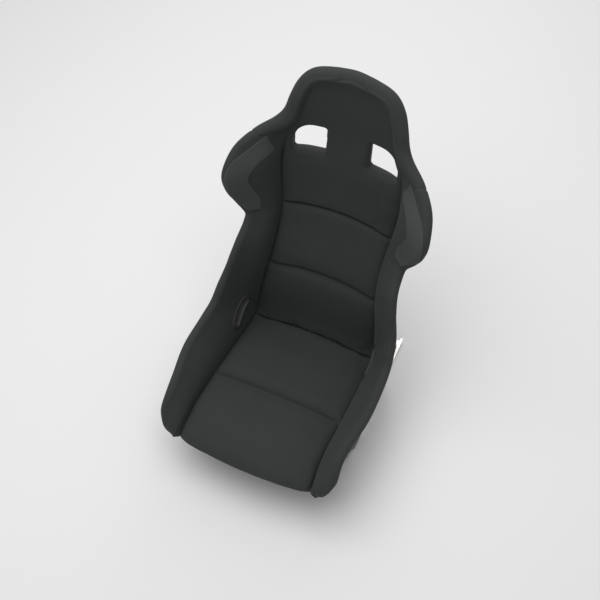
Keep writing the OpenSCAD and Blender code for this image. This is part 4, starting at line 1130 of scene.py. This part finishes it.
class SEAT_OT_belt_slots(bpy.types.Operator):
    """Rubber trims on the shoulder slots' edges and bezels through the side walls for the lap belt"""

    bl_idname = "racing_seat.belt_slots"
    bl_label = "Belt slots"

    def execute(self, context):
        for name, side in SIDES.items():
            outline = evenly(slot_outline(TRIM_T / 2 + 0.2, 24), 120)
            y = self.shell_y(outline[:, 0], outline[:, 1])
            path = np.stack([side * outline[:, 0], y, outline[:, 1]], -1)
            normal = np.broadcast_to([0.0, 1.0, 0.0], path.shape)
            turn = circle(1, 20)
            rounded = np.sign(turn) * np.abs(turn) ** 0.6
            profile = rounded * [SHELL_T / 2 + 1.6, TRIM_T / 2] + [SHELL_T / 2, 0]
            trim = swept(f"shoulder_slot_edge_{name}", path, normal, profile)
            put(trim, finish_of("trim_rubber"), nodes=[f"shoulder_slot_trim_{name}"])
            sleeve = self.bezel(name, side)
            put(sleeve, finish_of("bezel_plastic"), nodes=[f"lap_slot_bezel_{name}"])
        return {"FINISHED"}

    def shell_y(self, x, z):
        """The shell's y at places (x, z) of the upper back: Newton steps on (v, s)."""
        v, s = np.full(len(x), 17.0), x / 350
        for _ in range(12):
            p = face(v, s)
            dv, ds = face(v + 0.01, s) - p, face(v, s + 0.001) - p
            a, b, c, d = dv[:, 0] / 0.01, ds[:, 0] / 0.001, dv[:, 2] / 0.01, ds[:, 2] / 0.001
            ex, ez = x - p[:, 0], z - p[:, 2]
            det = a * d - b * c
            v, s = v + (d * ex - b * ez) / det, s + (a * ez - c * ex) / det
        return face(v, s)[:, 1]

    def wall_x(self, y, z, depth):
        """The side wall's x at places (y, z), at a depth given as a function of s: Newton steps on (v, s)."""
        v, s = 6.2 + (y - LAP_Y) / 70, np.full(y.shape, 0.74)

        def at(v, s):
            """The point of the padded or bare wall."""
            return at_depth(v, s, depth(s))

        for _ in range(16):
            p = at(v, s)
            dv, ds = (at(v + 0.01, s) - p) / 0.01, (at(v, s + 0.002) - p) / 0.002
            ey, ez = y - p[..., 1], z - p[..., 2]
            det = dv[..., 1] * ds[..., 2] - ds[..., 1] * dv[..., 2]
            v = np.clip(v + np.clip((ds[..., 2] * ey - ds[..., 1] * ez) / det, -0.5, 0.5), 2, 10)
            s = np.clip(s + np.clip((dv[..., 1] * ez - dv[..., 2] * ey) / det, -0.1, 0.1), 0.51, 0.99)
        return at(v, s)[..., 0]

    def bezel(self, name, side):
        """A sleeve through the wall with a round lip that lies on the padding: rings of the slot's outline
        grown step by step, each carried to the padded wall, to the shell's outer face or between them."""

        def padded(s):
            """Depth of the bolster's cover."""
            return -COVER_GAP - roll_height((s - CREASE) / (1 - CREASE), 6.0, BOLSTER_PAD)

        def bare(s):
            """Depth of the shell's outer face."""
            return np.full_like(s, SHELL_T)

        # Each ring: how far it is grown, its share of the way through the wall, and its distance from there
        steps = (
            (0.0, 1.0, 2.5), (0.0, 0.0, 1.2), (0.0, 0.0, 0.0), (0.0, 0.0, -1.2), (0.5, 0.0, -2.4),
            (1.6, 0.0, -3.1), (4.0, 0.0, -3.0), (6.0, 0.0, -2.3), (7.0, 0.0, -1.1), (6.9, 0.0, -0.5),
            (3.1, 0.0, -0.3), (3.0, 0.5, 0.0), (3.0, 1.0, 1.5), (2.6, 1.0, 2.9), (1.6, 1.0, 3.0))
        rings = []
        for grow, through, off in steps:
            outline = lap_outline(grow, 72)
            place = lap_place(1, outline[:, 0], outline[:, 1], 0.0)
            near, far = (self.wall_x(place[:, 1], place[:, 2], depth) for depth in (padded, bare))
            x = mix(near, far, through) + off
            rings.append(np.stack([side * x, place[:, 1], place[:, 2]], -1))
        return band(f"lap_slot_surround_{name}", np.stack(rings))


class SEAT_OT_springs(bpy.types.Operator):
    """Torsion springs round the release bar's pins: a round wire along a helix with two straight legs"""

    bl_idname = "racing_seat.springs"
    bl_label = "Return springs"

    def execute(self, context):
        x1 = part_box("return_springs")[1][0] * 1000 - WIRE_R
        x0 = x1 - (COIL_ROOM - 2 * WIRE_R - 0.6)
        t = np.linspace(0, 1, COIL_TURNS * 28 + 1)
        turn = 2 * math.pi * COIL_TURNS * t
        coil = np.stack([mix(x0, x1, t), -COIL_R * np.sin(turn), COIL_R * np.cos(turn)], -1)
        away = np.linspace(1, 0, 7)[:6] * SPRING_LEG
        legs = [np.stack([np.full(6, x), sign * away, np.full(6, COIL_R)], -1)
                for x, sign in ((x0, 1), (x1, -1))]
        parts = []
        for side in SIDES.values():
            path = np.concatenate([legs[0], coil, legs[1][::-1]]) * [side, 1, 1] + PIVOT
            normal = unit(np.cross(unit(np.gradient(path, axis=0)), [1.0, 0.0, 0.0]))
            parts.append(swept("spring", path, normal, circle(WIRE_R, 12), closed=False))
        springs = join("torsion_springs", parts)
        put(springs, finish_of("fastener_steel"), nodes=["return_springs"])
        return {"FINISHED"}


class SEAT_OT_hardware(bpy.types.Operator):
    """Finishes of the metal and plastic pieces that stay as they were machined"""

    bl_idname = "racing_seat.hardware"
    bl_label = "Hardware finishes"

    def execute(self, context):
        for part in frame["record"]["subparts"]:
            node = frame["nodes"][part["node"]]
            if not node.hide_render:
                node.data.materials.clear()
                node.data.materials.append(finish_of(part["material_slot"]))
        return {"FINISHED"}


class SEAT_OT_stage(bpy.types.Operator):
    """Pale floor, soft studio light and the camera at the photograph's angle"""

    bl_idname = "racing_seat.stage"
    bl_label = "Floor, light and camera"

    def execute(self, context):
        stage = context.scene.seat_stage
        floor = self.floor(tuple(stage.floor_colour))
        self.lamp("key_lamp", *KEY_LAMP, stage.lamp_power)
        self.lamp("back_lamp", *BACK_LAMP, stage.back_power)
        context.scene.world = self.room(stage.sky)
        context.scene.camera = self.camera()
        context.scene.view_settings.view_transform = "Standard"
        return {"FINISHED"}

    def floor(self, colour):
        """A round floor of pale paper, wide enough to reach the horizon."""
        flat = [np.pad(circle(r, FLOOR_SECTORS), ((0, 0), (0, 1))) for r in FLOOR_RINGS]
        rows, middle = len(FLOOR_RINGS), len(FLOOR_RINGS) * FLOOR_SECTORS
        floor = new_object("floor", np.concatenate([*flat, [[0, 0, 0]]]),
                           grid_faces(rows, FLOOR_SECTORS, wrap=True), None, [fan(0, FLOOR_SECTORS, middle)])
        finish = Finish("floor_paper")
        grain = finish.noise(finish.object_place(), 400.0, 2.0)
        dark, light = tuple(c * 0.995 for c in colour), tuple(min(1, c * 1.005) for c in colour)
        floor.data.materials.append(finish.close(
            Base_Color=finish.colours(grain, dark, light), Roughness=0.95, Specular_IOR_Level=0.1))
        return floor

    def lamp(self, name, place, target, size, power):
        """A square area lamp at a place, facing a target."""
        data = bpy.data.lights.new(name, "AREA")
        data.size, data.energy = size, power
        lamp = bpy.data.objects.new(name, data)
        back = np.array(place) - np.array(target)
        lamp.location = place
        tilt, turn = math.atan2(math.hypot(back[0], back[1]), back[2]), math.atan2(back[0], -back[1])
        lamp.rotation_euler = (tilt, 0.0, turn)
        bpy.context.scene.collection.objects.link(lamp)

    def room(self, strength):
        """Even white light all round. The camera, reflections and clear materials see a pale backdrop."""
        world = bpy.data.worlds.new("studio")
        world.use_nodes = True
        tree = world.node_tree
        tree.nodes.clear()
        path = tree.nodes.new("ShaderNodeLightPath")
        light, backdrop = (tree.nodes.new("ShaderNodeBackground") for _ in range(2))
        light.inputs[0].default_value, light.inputs[1].default_value = (1.0, 1.0, 1.0, 1.0), strength
        backdrop.inputs[0].default_value, backdrop.inputs[1].default_value = BACKDROP, 1.0
        both, end = tree.nodes.new("ShaderNodeMixShader"), tree.nodes.new("ShaderNodeOutputWorld")
        seen = path.outputs["Is Camera Ray"]
        for ray in ("Is Glossy Ray", "Is Transmission Ray"):
            either = tree.nodes.new("ShaderNodeMath")
            either.operation = "MAXIMUM"
            tree.links.new(seen, either.inputs[0])
            tree.links.new(path.outputs[ray], either.inputs[1])
            seen = either.outputs[0]
        for source, socket in ((seen, both.inputs[0]), (light.outputs[0], both.inputs[1]),
                               (backdrop.outputs[0], both.inputs[2]), (both.outputs[0], end.inputs[0])):
            tree.links.new(source, socket)
        return world

    def camera(self):
        """The camera at the photograph's angle."""
        camera = bpy.data.objects.new("camera", bpy.data.cameras.new("camera"))
        camera.data.sensor_width, camera.data.lens = 36.0, CAMERA_LENS
        camera.data.clip_start, camera.data.clip_end = 0.05, 100.0
        camera.location = CAMERA_PLACE
        camera.rotation_euler = [math.radians(angle) for angle in CAMERA_TURN]
        bpy.context.scene.collection.objects.link(camera)
        return camera


class SEAT_PT_dresser(bpy.types.Panel):
    """Sidebar panel with the seat's settings and the pieces that can be made."""

    bl_idname = "SEAT_PT_dresser"
    bl_label = "Racing seat"
    bl_space_type = "VIEW_3D"
    bl_region_type = "UI"
    bl_category = "Racing seat"

    def draw(self, context):
        for group in (context.scene.seat_looks, context.scene.seat_sizes, context.scene.seat_stage):
            for key in group.__annotations__:
                self.layout.prop(group, key)
        for operator in OPERATORS:
            self.layout.operator(operator.bl_idname)


GROUPS = {"seat_looks": SeatLooks, "seat_sizes": SeatSizes, "seat_stage": SeatStage}
OPERATORS = (SEAT_OT_shell, SEAT_OT_base_cushion, SEAT_OT_back_cover, SEAT_OT_head_roll, SEAT_OT_bolsters,
             SEAT_OT_wing_panels, SEAT_OT_belt_slots, SEAT_OT_springs, SEAT_OT_hardware, SEAT_OT_stage)


def register():
    """Registers the settings, the operators and the panel."""
    for key, group in GROUPS.items():
        bpy.utils.register_class(group)
        setattr(bpy.types.Scene, key, bpy.props.PointerProperty(type=group))
    for each in (*OPERATORS, SEAT_PT_dresser):
        bpy.utils.register_class(each)


def unregister():
    """Takes the panel, the operators and the settings away again."""
    for each in (SEAT_PT_dresser, *reversed(OPERATORS)):
        bpy.utils.unregister_class(each)
    for key, group in reversed(GROUPS.items()):
        delattr(bpy.types.Scene, key)
        bpy.utils.unregister_class(group)


def main():
    """Makes every piece in order."""
    register()
    for operator in OPERATORS:
        family, _, name = operator.bl_idname.partition(".")
        getattr(getattr(bpy.ops, family), name)()


if __name__ == "__main__":
    main()
